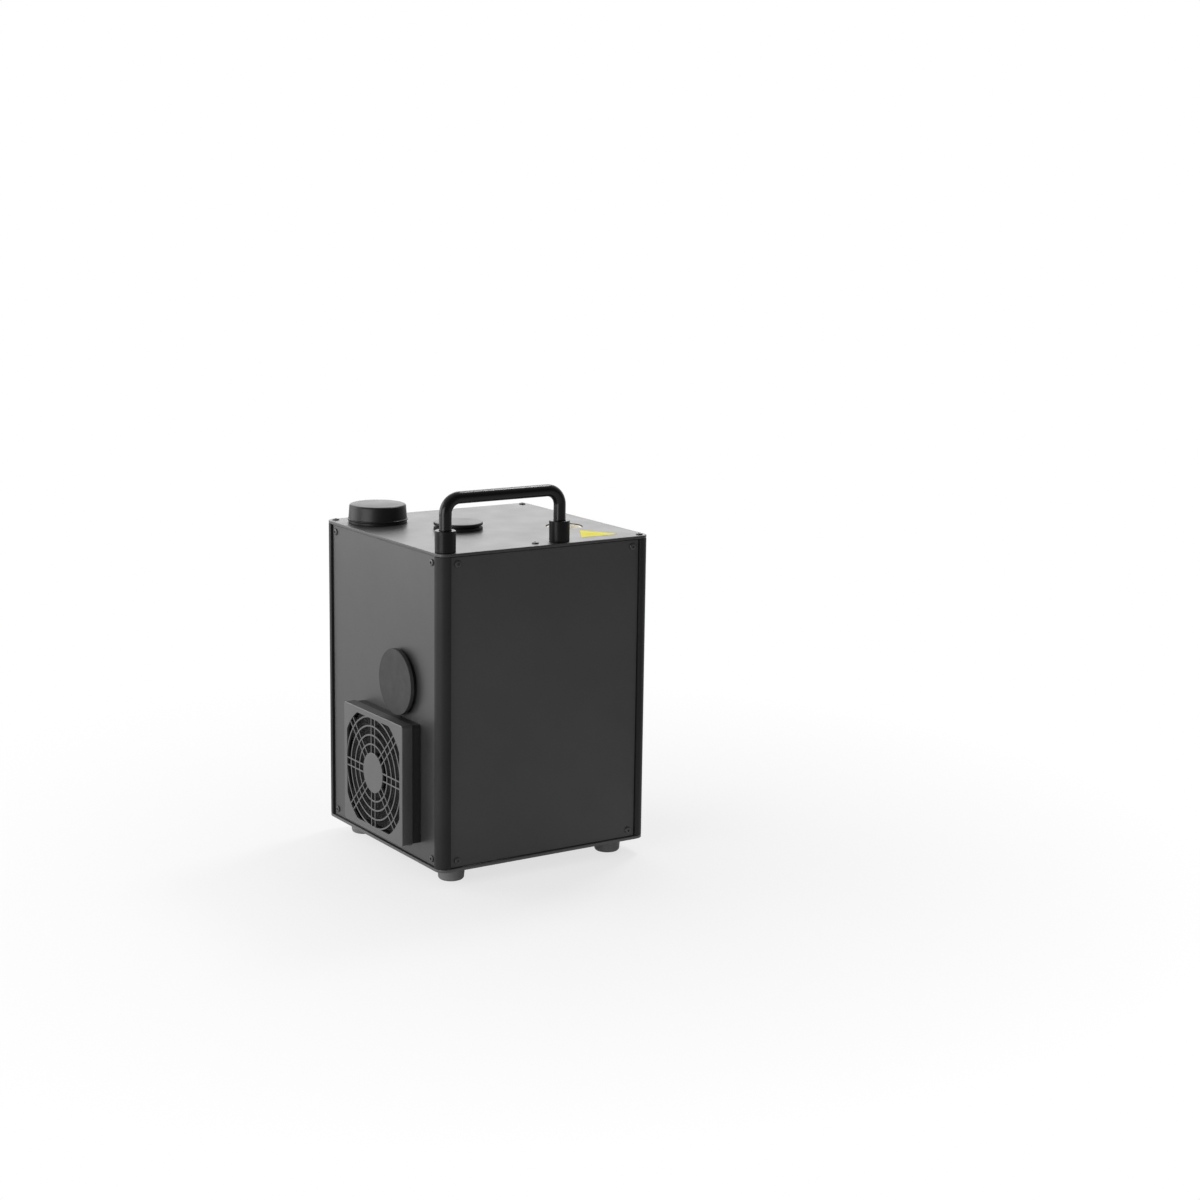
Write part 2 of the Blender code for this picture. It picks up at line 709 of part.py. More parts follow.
def build_plates():
    """Base plate and top plate, flush with the posts, with their screws and every hole they need."""
    flat = rounded(WIDTH, DEPTH, CORNER_RADIUS, CORNER_STEPS)
    inner = rounded(WIDTH - 2 * PLATE_CHAMFER, DEPTH - 2 * PLATE_CHAMFER,
                    CORNER_RADIUS - PLATE_CHAMFER, CORNER_STEPS)
    fixing = screw(SCREW_RADIUS, PLATE_SCREW_LENGTH)
    base = solid("base_plate", [stack([(inner, FOOT_HEIGHT), (flat, FOOT_HEIGHT + PLATE_CHAMFER),
                                       (flat, BASE_TOP)])], "black_paint")
    over = Matrix.Rotation(math.pi, 4, "X")
    fuse(base, [moved(fixing, at(x, y, FOOT_HEIGHT) @ over) for x, y in corner_points(PLATE_SCREW_IN)])
    foot_bore = rod(FOOT_SCREW_RADIUS + BORE_PLAY, FOOT_HEIGHT - OVERRUN, BASE_TOP + OVERRUN)
    cut(base, [moved(foot_bore, at(x, y)) for x, y in corner_points(FOOT_IN)])

    top = solid("top_plate", [stack([(flat, TOP_UNDER), (flat, TOP_FACE - PLATE_CHAMFER),
                                     (inner, TOP_FACE)])], "black_paint")
    screws = [moved(fixing, at(x, y, TOP_FACE)) for x, y in corner_points(PLATE_SCREW_IN)[1:]]
    front = screw(SCREW_RADIUS, TOP_THICKNESS + BACKPLATE_THICKNESS + FRONT_SCREW_PAST)
    front_x = handle_points()[0][0] + FRONT_SCREW_ALONG
    screws.append(moved(front, at(front_x, FRONT_SCREW_IN - DEPTH / 2, TOP_FACE)))
    fuse(top, screws)
    low = TOP_UNDER - OVERRUN
    high = TOP_FACE + OVERRUN
    tools = [moved(rod(STUD_RADIUS + BORE_PLAY, low, high), at(x, y)) for x, y in handle_points()]
    for x, y, radius in ((FILLER_X, FILLER_Y, NECK_RADIUS + GAP),
                         (TOP_PLUG_X, TOP_PLUG_Y, TOP_RING_SPIGOT + GAP),
                         (NOZZLE_X, NOZZLE_Y, NOZZLE_HOLE_RADIUS)):
        tools.append(moved(rod(radius, low, high, FINE), at(x, y)))
    cut(top, tools)


def handle_points():
    """The handle's two legs: one in the front left corner, one along the front edge."""
    x = HANDLE_IN - WIDTH / 2
    y = HANDLE_IN - DEPTH / 2
    return [(x, y), (x + HANDLE_SPACING, y)]


def panel(side):
    """A plain sheet panel with its four screws, in its side's own place."""
    _, _, half = SIDES[side]
    edge = half - POST_LIP - PANEL_SEAM
    low = BASE_TOP + PANEL_END_SEAM
    high = TOP_UNDER - PANEL_END_SEAM
    outline = [(edge, high), (-edge, high), (-edge, low), (edge, low)]
    sheet = solid(f"{side}_panel", [prism(outline, -PANEL_BACK, -PANEL_RECESS)], "black_paint",
                  side_place(side))
    fixing = screw(SCREW_RADIUS, PANEL_SCREW_LENGTH)
    x = half - PANEL_SCREW_IN
    fuse(sheet, [moved(fixing, at(way * x, z, -PANEL_RECESS))
                 for way in (-1, 1) for z in panel_screw_heights()])
    return sheet


def through_panel(outline):
    """A cutter of one outline that goes through a panel."""
    return prism(outline, -PANEL_BACK - OVERRUN, -PANEL_RECESS + OVERRUN)


def build_panels():
    """The four panels; left and rear have the openings of what they carry."""
    panel("front")
    panel("right")

    holes = [through_panel(circle(-GUARD_Y, GUARD_Z, FAN_BORE_RADIUS, FINE)),
             through_panel(circle(-SIDE_PLUG_Y, SIDE_PLUG_Z, SIDE_RING_SPIGOT + GAP, FINE))]
    for x, z in fan_screw_points():
        hole = circle(x - GUARD_Y, z + GUARD_Z, FAN_SCREW_RADIUS + BORE_PLAY, TINY)
        holes.append(through_panel(hole))
    cut(panel("left"), holes)

    opening = rectangle(DISPLAY_WIDTH - 2 * DISPLAY_MARGIN, DISPLAY_HEIGHT - 2 * DISPLAY_MARGIN)
    holes = [through_panel(shifted(opening, -DISPLAY_X, DISPLAY_Z))]
    for x in button_xs():
        hole = circle(-x, DISPLAY_Z - BUTTON_DROP, BUTTON_RADIUS + BUTTON_PLAY, BUTTON_SIDES)
        holes.append(through_panel(hole))
    module = rectangle(MODULE_BODY_WIDTH + 2 * GAP, MODULE_BODY_HEIGHT + 2 * GAP)
    holes.append(through_panel(shifted(module, -MODULE_X, MODULE_Z)))
    for x in (SIGNAL_IN_X, SIGNAL_OUT_X):
        holes.append(through_panel(circle(-x, SIGNAL_Z, SIGNAL_BODY_RADIUS + GAP, MEDIUM)))
    for i in range(VENT_SLOTS):
        slot = rectangle(VENT_WIDTH, VENT_LENGTH)
        x = (i - (VENT_SLOTS - 1) / 2) * VENT_PITCH
        holes.append(through_panel(shifted(slot, x - VENT_X, VENT_Z)))
    cut(panel("rear"), holes)


def build_feet():
    """Four tapered rubber feet with a rounded lower edge, each on a recessed screw."""
    top = FOOT_HEIGHT - GAP
    rounded = arc(FOOT_BOTTOM_RADIUS - FOOT_EDGE, FOOT_EDGE, FOOT_EDGE, 0, -90, FOOT_EDGE_STEPS)
    profile = [(0, top), (FOOT_TOP_RADIUS, top), *rounded, (FOOT_RECESS_RADIUS, 0),
               (FOOT_RECESS_RADIUS, FOOT_RECESS_DEPTH), (0, FOOT_RECESS_DEPTH)]
    length = BASE_TOP + FOOT_SCREW_PAST - FOOT_RECESS_DEPTH
    fixing = screw(FOOT_SCREW_RADIUS, length, FOOT_SCREW_HEAD_RADIUS, FOOT_SCREW_HEAD_HEIGHT)
    over = at(0, 0, FOOT_RECESS_DEPTH) @ Matrix.Rotation(math.pi, 4, "X")
    for name, (x, y) in zip(CORNERS, corner_points(FOOT_IN)):
        foot = solid(f"foot_{name}", [lathe(profile, MEDIUM)], "rubber", at(x, y))
        fuse(foot, [moved(fixing, over)])


def handle_path():
    """The handle's centre line, from one sleeve up, across and down to the other."""
    x0 = handle_points()[0][0]
    x1 = x0 + HANDLE_SPACING
    bend = HANDLE_BEND
    high = HANDLE_HEIGHT - bend
    left = arc(x0 + bend, high, bend, 180, 90, BEND_STEPS)
    right = arc(x1 - bend, high, bend, 90, 0, BEND_STEPS)
    return [(x0, GAP)] + left + right + [(x1, GAP)]


def bar_along(path, radius, sides):
    """A round bar along a path in the XZ plane, each ring square to the way it runs."""
    line = np.array(path)
    legs = np.diff(line, axis=0)
    legs /= np.linalg.norm(legs, axis=1)[:, None]
    ways = np.vstack([legs[:1], legs[:-1] + legs[1:], legs[-1:]])
    ways /= np.linalg.norm(ways, axis=1)[:, None]
    rings = []
    for (x, z), (wx, wz) in zip(line, ways):
        rings.append([(x - wz * u, v, z + wx * u) for u, v in circle(0, 0, radius, sides)])
    return loft(rings)


def build_handle():
    """Bent bar with its two studs, its sleeves, and the backing strip with the nut of one stud."""
    (x0, y), (x1, _) = handle_points()
    bar = bar_along(handle_path(), HANDLE_RADIUS, COARSE)
    handle = solid("handle", [bar], "black_paint", at(0, y, TOP_FACE))
    nut_low = -TOP_THICKNESS - GAP - BACKPLATE_THICKNESS - NUT_HEIGHT
    post_stud = rod(STUD_RADIUS, STUD_SHORT - TOP_THICKNESS - STUD_DEPTH, SLEEVE_HEIGHT)
    nut_stud = rod(STUD_RADIUS, nut_low - STUD_SHORT, SLEEVE_HEIGHT)
    fuse(handle, [moved(post_stud, at(x0)), moved(nut_stud, at(x1))])

    inside = HANDLE_RADIUS + GAP
    profile = [(inside, GAP), (SLEEVE_RADIUS, GAP), (SLEEVE_RADIUS, SLEEVE_HEIGHT - SLEEVE_EDGE),
               (SLEEVE_RADIUS - SLEEVE_EDGE, SLEEVE_HEIGHT), (inside, SLEEVE_HEIGHT)]
    for name, x in (("left", x0), ("right", x1)):
        solid(f"handle_sleeve_{name}", [lathe(profile, MEDIUM)], "black_plastic", at(x, y, TOP_FACE))

    strip_x = x1 + BACKPLATE_BEYOND - BACKPLATE_LENGTH / 2
    strip = rectangle(BACKPLATE_LENGTH, BACKPLATE_WIDTH)
    place = at(strip_x, y, TOP_UNDER - GAP - BACKPLATE_THICKNESS)
    plate = solid("handle_backplate", [prism(strip, 0, BACKPLATE_THICKNESS)], "steel", place)
    fuse(plate, [moved(rod(NUT_RADIUS, -NUT_HEIGHT, BITE, 6), at(x1 - strip_x))])
    low = -NUT_HEIGHT - OVERRUN
    high = BACKPLATE_THICKNESS + OVERRUN
    cut(plate, [moved(rod(STUD_RADIUS + BORE_PLAY, low, high), at(x1 - strip_x)),
                moved(rod(SCREW_RADIUS + BORE_PLAY, low, high),
                      at(x0 + FRONT_SCREW_ALONG - strip_x, FRONT_SCREW_IN - HANDLE_IN))])


def build_filler():
    """Flanged neck in the top plate, and the screw cap over it with its sealing disc."""
    bore = NECK_RADIUS - NECK_WALL
    low = -TOP_THICKNESS - NECK_BELOW
    profile = [(bore, low), (NECK_RADIUS, low), (NECK_RADIUS, GAP), (NECK_FLANGE_RADIUS, GAP),
               (NECK_FLANGE_RADIUS, NECK_FLANGE_TOP), (NECK_RADIUS, NECK_FLANGE_TOP),
               (NECK_RADIUS, NECK_HEIGHT), (bore, NECK_HEIGHT)]
    place = at(FILLER_X, FILLER_Y, TOP_FACE)
    solid("filler_neck", [lathe(profile, FINE)], "black_plastic", place)

    inside = NECK_RADIUS + CAP_THREAD_PLAY
    liner_low = NECK_HEIGHT + GAP
    liner_high = liner_low + LINER_THICKNESS
    disc = rod(inside - 2 * GAP, liner_low, liner_high, FINE)
    solid("cap_liner", [disc], "rubber", place)

    bottom = NECK_FLANGE_TOP + GAP
    ceiling = liner_high + GAP
    crest = CAP_RIM_HEIGHT + CAP_DOME
    shoulder = CAP_TOP_RADIUS - CAP_EDGE
    profile = [(0, crest), (shoulder * CAP_CROWN, CAP_RIM_HEIGHT + CAP_DOME * CAP_CROWN)]
    profile += arc(shoulder, CAP_RIM_HEIGHT - CAP_EDGE, CAP_EDGE, 90, 0, 2)
    profile += [(CAP_BASE_RADIUS, bottom), (inside, bottom), (inside, ceiling), (0, ceiling)]
    solid("filler_cap", [lathe(profile, FINE)], "black_plastic", place)


def build_hopper():
    """The granule hopper: a can that hangs round the neck, and a leaning funnel down to its spout."""
    top = TOP_UNDER - GAP
    bend = top - HOPPER_STRAIGHT
    inner = HOPPER_RADIUS - HOPPER_WALL
    mouth = (NECK_RADIUS + GAP) / math.cos(math.pi / MEDIUM)
    wall = [(mouth, top), (HOPPER_RADIUS, top), (HOPPER_RADIUS, bend), (inner, bend),
            (inner, top - HOPPER_WALL), (mouth, top - HOPPER_WALL)]
    solid("hopper", [lathe(wall, MEDIUM)], "steel", at(FILLER_X, FILLER_Y))

    seam = bend - GAP
    spout_bore = SPOUT_RADIUS - HOPPER_WALL
    can = (FILLER_X, FILLER_Y)
    spout = (OUTLET_X, OUTLET_Y)
    levels = [(can, HOPPER_RADIUS, seam), (spout, SPOUT_RADIUS, OUTLET_Z), (spout, SPOUT_RADIUS, SPOUT_BOTTOM),
              (spout, spout_bore, SPOUT_BOTTOM), (spout, spout_bore, OUTLET_Z), (can, inner, seam)]
    rings = [[(x, y, z) for x, y in circle(*centre, radius, MEDIUM)] for centre, radius, z in levels]
    solid("hopper_funnel", [loft(rings, closed=True)], "steel")


def helix_flight(inner, outer, thickness, pitch, low, high, steps):
    """A flight wound round Z: a thin radial bar carried up a helix, closed at both ends."""
    turns = (high - low) / pitch
    count = int(round(turns * steps))
    half = thickness / 2
    rings = []
    for i in range(count + 1):
        angle = 2 * math.pi * turns * i / count
        z = low + (high - low) * i / count
        c = math.cos(angle)
        s = math.sin(angle)
        rings.append([(inner * c, inner * s, z - half), (outer * c, outer * s, z - half),
                      (outer * c, outer * s, z + half), (inner * c, inner * s, z + half)])
    return loft(rings)


def build_feed():
    """Feed tube with its inlet collar, the screw that turns in it, and the motor that turns that."""
    bore = TUBE_RADIUS - TUBE_WALL
    end = FEED_LENGTH - CHAMBER_RADIUS / 2
    tube = solid("feed_tube", [rod(TUBE_RADIUS, -TUBE_TAIL, end, MEDIUM)], "steel", feed_place())
    upright = Matrix.Rotation(math.radians(-90), 4, "X")
    collar_top = TUBE_RADIUS + TUBE_COLLAR
    fuse(tube, [moved(rod(SPOUT_RADIUS, 0, collar_top, MEDIUM), upright)])
    cut(tube, [rod(bore, -TUBE_TAIL - OVERRUN, end + OVERRUN, MEDIUM)])
    drop = rod(SPOUT_RADIUS - TUBE_WALL - BITE, 0, collar_top + OVERRUN, MEDIUM)
    nozzle_axis = at(0, 0, FEED_LENGTH) @ upright
    saddle = rod(CHAMBER_RADIUS + GAP, -2 * TUBE_RADIUS, 2 * TUBE_RADIUS, FINE)
    cut(tube, [moved(drop, upright), moved(saddle, nozzle_axis)])

    adapter_end = ADAPTER_OVERLAP - TUBE_TAIL - ADAPTER_LENGTH
    motor_face = adapter_end - GAP
    auger_end = FEED_LENGTH - CHAMBER_RADIUS - AUGER_SHORT
    shaft_low = motor_face - MOTOR_SHAFT_IN + MOTOR_SHAFT_END
    core = lathe([(0, shaft_low), (MOTOR_SHAFT_RADIUS, shaft_low), (MOTOR_SHAFT_RADIUS, -TUBE_TAIL),
                  (AUGER_CORE, -TUBE_TAIL), (AUGER_CORE, auger_end), (0, auger_end)], AUGER_SIDES)
    auger = solid("feed_auger", [core], "steel", feed_place())
    flight = helix_flight(AUGER_CORE - BITE, bore - AUGER_PLAY, AUGER_FLIGHT, AUGER_PITCH,
                          FLIGHT_START - TUBE_TAIL, auger_end - AUGER_FLIGHT, AUGER_SIDES)
    fuse(auger, [flight])

    low = motor_face + COUPLING_STAND
    inside = MOTOR_SHAFT_RADIUS + GAP
    ring = [(inside, low), (COUPLING_RADIUS, low), (COUPLING_RADIUS, low + COUPLING_LENGTH),
            (inside, low + COUPLING_LENGTH)]
    solid("shaft_coupling", [lathe(ring, COARSE)], "aluminium", feed_place())

    hold = TUBE_RADIUS + GAP
    room = COUPLING_RADIUS + COUPLING_ROOM
    seat = -TUBE_TAIL - GAP
    cup = [(hold, adapter_end + ADAPTER_LENGTH), (MOTOR_RADIUS, adapter_end + ADAPTER_LENGTH),
           (MOTOR_RADIUS, adapter_end), (room, adapter_end), (room, seat), (hold, seat)]
    solid("feed_adapter", [lathe(cup, MEDIUM)], "aluminium", feed_place())

    gearbox_low = motor_face - GEARBOX_LENGTH
    can_low = gearbox_low - MOTOR_CAN_LENGTH
    deep = motor_face - MOTOR_SHAFT_IN
    motor = [(0, deep), (inside, deep), (inside, motor_face), (MOTOR_RADIUS, motor_face),
             (MOTOR_RADIUS, gearbox_low), (MOTOR_CAN_RADIUS, gearbox_low), (MOTOR_CAN_RADIUS, can_low),
             (0, can_low)]
    solid("feed_motor", [lathe(motor, MEDIUM)], "steel", feed_place())


def build_nozzle():
    """Ceramic nozzle liner standing on a step in the heating chamber, with heater, wrap and shield."""
    place = at(NOZZLE_X, NOZZLE_Y)
    bore = LINER_TUBE_RADIUS
    rim = LINER_TUBE_RADIUS + LINER_TUBE_WALL
    liner = [(bore, STEP_Z), (rim, STEP_Z), (rim, LINER_TOP), (bore, LINER_TOP)]
    solid("nozzle_liner", [lathe(liner, MEDIUM)], "ceramic", place)

    top = TOP_UNDER - GAP
    step = STEP_Z - GAP
    narrow = CHAMBER_INNER - CHAMBER_STEP
    chamber_top = top - CHAMBER_SHORT
    floor = CHAMBER_BOTTOM + CHAMBER_FLOOR
    wall = [(CHAMBER_RADIUS, CHAMBER_BOTTOM), (CHAMBER_RADIUS, chamber_top), (CHAMBER_INNER, chamber_top),
            (CHAMBER_INNER, step), (narrow, step), (narrow, floor), (AIR_HOLE_RADIUS, floor),
            (AIR_HOLE_RADIUS, CHAMBER_BOTTOM)]
    chamber = solid("heating_chamber", [lathe(wall, MEDIUM)], "steel", place)
    into = place.inverted() @ feed_place()
    inlet_start = FEED_LENGTH - CHAMBER_RADIUS - OVERRUN
    cut(chamber, [moved(rod(TUBE_RADIUS - TUBE_WALL, inlet_start, FEED_LENGTH, MEDIUM), into)])

    band_in = CHAMBER_RADIUS + GAP
    band_out = band_in + BAND_THICKNESS
    low = STEP_Z + BAND_ABOVE_STEP
    band = [(band_in, low), (band_out, low), (band_out, low + BAND_LENGTH), (band_in, low + BAND_LENGTH)]
    solid("heater_band", [lathe(band, MEDIUM)], "steel", place)

    wrap_in = band_out + GAP
    wrap_out = wrap_in + WRAP_THICKNESS
    shield_low = STEP_Z + SHIELD_ABOVE_STEP
    wrap_low = shield_low + SHIELD_WALL + GAP
    wrap_high = top - SHIELD_SHORT - WRAP_SHORT
    wrap = [(wrap_in, wrap_low), (wrap_out, wrap_low), (wrap_out, wrap_high), (wrap_in, wrap_high)]
    solid("insulation_wrap", [lathe(wrap, MEDIUM)], "ceramic", place)

    inside = wrap_out + GAP
    outside = inside + SHIELD_WALL
    shield_high = top - SHIELD_SHORT
    can = [(band_in, shield_low), (outside, shield_low), (outside, shield_high), (inside, shield_high),
           (inside, shield_low + SHIELD_WALL), (band_in, shield_low + SHIELD_WALL)]
    solid("heat_shield", [lathe(can, MEDIUM)], "aluminium", place)


def scroll_outline(inset, rise):
    """The blower's side view: a spiral that opens into an upright outlet; inset makes its cavity."""
    right = SCROLL_END - inset
    left = SCROLL_END - SCROLL_OUTLET + inset
    start = math.degrees(math.acos(left / (SCROLL_START - inset)))
    points = [(right, rise), (left, rise)]
    for angle in np.linspace(start, 360, MEDIUM):
        share = (angle - start) / (360 - start)
        radius = SCROLL_START + (SCROLL_END - SCROLL_START) * share - inset
        a = math.radians(angle)
        points.append((radius * math.cos(a), radius * math.sin(a)))
    return points


def impeller_blade(angle):
    """One forward-curved blade, an arc in plan, raised along the axis."""
    low = -IMPELLER_WIDTH / 2 + IMPELLER_DISC / 2
    high = IMPELLER_WIDTH / 2 - IMPELLER_DISC / 2
    root = IMPELLER_EYE + IMPELLER_INSET
    tip = IMPELLER_RADIUS - IMPELLER_INSET
    outer = []
    inner = []
    for share in (0.0, 0.5, 1.0):
        radius = root + (tip - root) * share
        bend = angle + IMPELLER_SWEEP * share * share
        outer.append((radius * math.cos(bend), radius * math.sin(bend)))
        bend += IMPELLER_BLADE / radius
        inner.append((radius * math.cos(bend), radius * math.sin(bend)))
    return prism(outer + inner[::-1], low, high)


def build_blower():
    """Scroll on the base plate, its impeller, the motor behind, and the duct up to the chamber."""
    place = at(BLOWER_X, NOZZLE_Y, BLOWER_Z) @ SIDES["front"][0].to_4x4()
    half = SCROLL_THICKNESS / 2
    housing = solid("blower_housing", [prism(scroll_outline(0.0, SCROLL_RISE), -half, half)],
                    "black_plastic", place)
    foot_low = BASE_TOP + GAP - BLOWER_Z
    foot = [(SCROLL_FOOT / 2, foot_low / 2), (-SCROLL_FOOT / 2, foot_low / 2),
            (-SCROLL_FOOT / 2, foot_low), (SCROLL_FOOT / 2, foot_low)]
    fuse(housing, [prism(foot, BITE - half, half - BITE)])
    deep = half - SCROLL_WALL
    cut(housing, [prism(scroll_outline(SCROLL_WALL, SCROLL_RISE + OVERRUN), -deep, deep)])
    shaft_bore = MOTOR_SHAFT_RADIUS + 2 * GAP
    cut(housing, [rod(SCROLL_INLET_RADIUS, deep - OVERRUN, half + OVERRUN, MEDIUM),
                  rod(shaft_bore, -half - OVERRUN, -deep + OVERRUN, COARSE)])

    low = -IMPELLER_WIDTH / 2
    high = IMPELLER_WIDTH / 2
    shaft_low = -half - MOTOR_SHAFT_IN
    hub_top = high - IMPELLER_HUB_SHORT
    hub = [(0, hub_top), (IMPELLER_HUB_TOP, hub_top), (IMPELLER_HUB_FOOT, low + IMPELLER_DISC),
           (IMPELLER_RADIUS, low + IMPELLER_DISC), (IMPELLER_RADIUS, low), (MOTOR_SHAFT_RADIUS, low),
           (MOTOR_SHAFT_RADIUS, shaft_low), (0, shaft_low)]
    impeller = solid("blower_impeller", [lathe(hub, MEDIUM)], "black_plastic", place)
    blades = [impeller_blade(2 * math.pi * i / IMPELLER_BLADES) for i in range(IMPELLER_BLADES)]
    rim = lathe([(IMPELLER_EYE, high - IMPELLER_DISC), (IMPELLER_RADIUS, high - IMPELLER_DISC),
                 (IMPELLER_RADIUS, high), (IMPELLER_EYE, high)], MEDIUM)
    fuse(impeller, blades + [rim], crossing=True)

    face = -half - GAP
    bore = MOTOR_SHAFT_RADIUS + GAP
    end = face - BLOWER_MOTOR_LENGTH
    deep = shaft_low - MOTOR_SHAFT_END
    edge = BLOWER_MOTOR_EDGE
    motor = [(0, deep), (bore, deep), (bore, face), (BLOWER_MOTOR_RADIUS, face),
             (BLOWER_MOTOR_RADIUS, end + edge), (BLOWER_MOTOR_RADIUS - edge, end), (0, end)]
    solid("blower_motor", [lathe(motor, MEDIUM)], "steel", place)

    duct_low = BLOWER_Z + SCROLL_RISE + GAP
    duct_high = CHAMBER_BOTTOM - GAP
    levels = ((0.0, duct_low, False), (0.0, duct_high, True), (DUCT_WALL, duct_high, True),
              (DUCT_WALL, duct_low, False))
    rings = []
    for inset, z, is_round in levels:
        ring = []
        for x, y in circle(0, 0, 1, MEDIUM):
            reach = DUCT_TOP_RADIUS - inset
            if not is_round:
                across = (SCROLL_OUTLET / 2 - inset) / max(abs(x), 1e-9)
                along = (half - inset) / max(abs(y), 1e-9)
                reach = min(across, along)
            ring.append((x * reach, y * reach, z))
        rings.append(ring)
    solid("air_duct", [loft(rings, closed=True)], "aluminium", at(NOZZLE_X, NOZZLE_Y))


def fan_screw_points():
    """The fan's square of four screw holes, about its own axis."""
    half = FAN_SIZE / 2 - FAN_SCREW_IN
    return [(half, half), (-half, half), (-half, -half), (half, -half)]


def grille_opening():
    """The grille's opening: a square whose corners are cut by a larger circle."""
    lean = math.degrees(math.acos(GRILLE_OPENING / GRILLE_CORNER_RADIUS))
    points = []
    for quarter in range(4):
        start = 90 * quarter + lean
        points += arc(0, 0, GRILLE_CORNER_RADIUS, start, 90 * (quarter + 1) - lean, 5)
    return points


def grille_circle(radius):
    """Points once round the grille: some inside each spoke, where they don't show, and some between."""
    step = 2 * math.pi / GRILLE_SPOKE_PAIRS
    lean = math.asin(GRILLE_PAIR_SPACING / 2 / radius)
    turns = [i * step + share for i in range(GRILLE_SPOKE_PAIRS)
             for share in (lean, step / 3, 2 * step / 3, step - lean)]
    return [(radius * math.cos(turn), radius * math.sin(turn)) for turn in turns]


def grille_ribs(low, high):
    """Hub, rings and pairs of parallel spokes of the grille."""
    pieces = [prism(grille_circle(GRILLE_HUB_RADIUS), low, high)]
    for middle in np.linspace(GRILLE_RING_START, GRILLE_OPENING + GRILLE_RING_BEYOND, GRILLE_RINGS):
        inner = grille_circle(middle - GRILLE_RIB / 2)
        outer = grille_circle(middle + GRILLE_RIB / 2)
        section = ((inner, low), (outer, low), (outer, high), (inner, high))
        pieces.append(loft([[(x, y, z) for x, y in points] for points, z in section], closed=True))
    start = GRILLE_HUB_RADIUS - GRILLE_RIB
    for i in range(GRILLE_SPOKE_PAIRS):
        turn = Matrix.Rotation(2 * math.pi * i / GRILLE_SPOKE_PAIRS, 4, "Z")
        reach = BITE + (GRILLE_OPENING if i % 2 == 0 else GRILLE_CORNER_RADIUS)
        for side in (-0.5, 0.5):
            outline = shifted(rectangle(reach - start, GRILLE_SPOKE), (reach + start) / 2,
                              side * GRILLE_PAIR_SPACING)
            pieces.append(moved(prism(outline, low, high), turn))
    return pieces


def build_guard():
    """Filter guard: tray with the screws that also hold the fan, foam, and snap-on grille cover."""
    place = side_place("left", -GUARD_Y, GUARD_Z)
    size = GUARD_BASE_SIZE
    tray = solid("guard_base", [prism(rounded(size, size, GUARD_CORNER), GUARD_BACK, GUARD_SPLIT)],
                 "black_plastic", place)
    inside = size - 2 * GUARD_BASE_WALL
    floor = GUARD_BACK + GUARD_BASE_FLOOR
    cut(tray, [prism(rectangle(inside, inside), floor, GUARD_SPLIT + OVERRUN)])
    cut(tray, [rod(FAN_BORE_RADIUS, GUARD_BACK - OVERRUN, floor + OVERRUN, FINE)])
    length = floor + POST_SEAT + FAN_DEPTH - FAN_SCREW_SHORT
    fixing = screw(FAN_SCREW_RADIUS, length, FAN_SCREW_HEAD_RADIUS, FAN_SCREW_HEAD_HEIGHT)
    fuse(tray, [moved(fixing, at(x, y, floor)) for x, y in fan_screw_points()])

    back = GUARD_SPLIT + GAP
    front = back + GUARD_COVER_DEPTH
    size = GUARD_COVER_SIZE
    small = size - 2 * GUARD_EDGE
    outer = rounded(size, size, GUARD_CORNER, 4)
    lip = rounded(small, small, GUARD_CORNER - GUARD_EDGE, 4)
    cover = solid("guard_cover", [stack([(outer, back), (outer, front - GUARD_EDGE), (lip, front)])],
                  "black_plastic", place)
    hollow = size - 2 * GUARD_COVER_WALL
    face_back = front - GUARD_FACE
    cut(cover, [prism(rounded(hollow, hollow, GUARD_INNER_CORNER, 1), back - OVERRUN, face_back)])
    cut(cover, [prism(grille_opening(), face_back - OVERRUN, front + OVERRUN)])
    fuse(cover, grille_ribs(face_back + GRILLE_SINK, front - GRILLE_SINK), crossing=True)
    fuse(cover, guard_clips(back), crossing=True)

    foam_size = inside / 2 - FOAM_PLAY
    chop = foam_size - FOAM_CORNER_CUT
    outline = [(foam_size, chop), (chop, foam_size), (-chop, foam_size), (-foam_size, chop),
               (-foam_size, -chop), (-chop, -foam_size), (chop, -foam_size), (foam_size, -chop)]
    foam_low = floor + GAP
    solid("guard_foam", [prism(outline, foam_low, foam_low + FOAM_THICKNESS)], "foam", place)


def guard_clips(back):
    """Four tongues on the cover's walls that reach into the tray."""
    outer = GUARD_BASE_SIZE / 2 - GUARD_BASE_WALL - GAP
    inner = outer - CLIP_THICKNESS
    wall = GUARD_COVER_SIZE / 2 - GUARD_COVER_WALL + BITE
    root = shifted(rectangle(wall - inner, CLIP_WIDTH), (wall + inner) / 2, 0)
    tongue = shifted(rectangle(CLIP_THICKNESS, CLIP_WIDTH - 2 * CLIP_INSET), (outer + inner) / 2, 0)
    pieces = []
    for i in range(4):
        turn = Matrix.Rotation(math.pi / 2 * i, 4, "Z")
        pieces.append(moved(prism(root, back + CLIP_ROOT_LOW, back + CLIP_ROOT_HIGH), turn))
        pieces.append(moved(prism(tongue, back - CLIP_REACH, back + CLIP_ROOT_HIGH - BITE), turn))
    return pieces


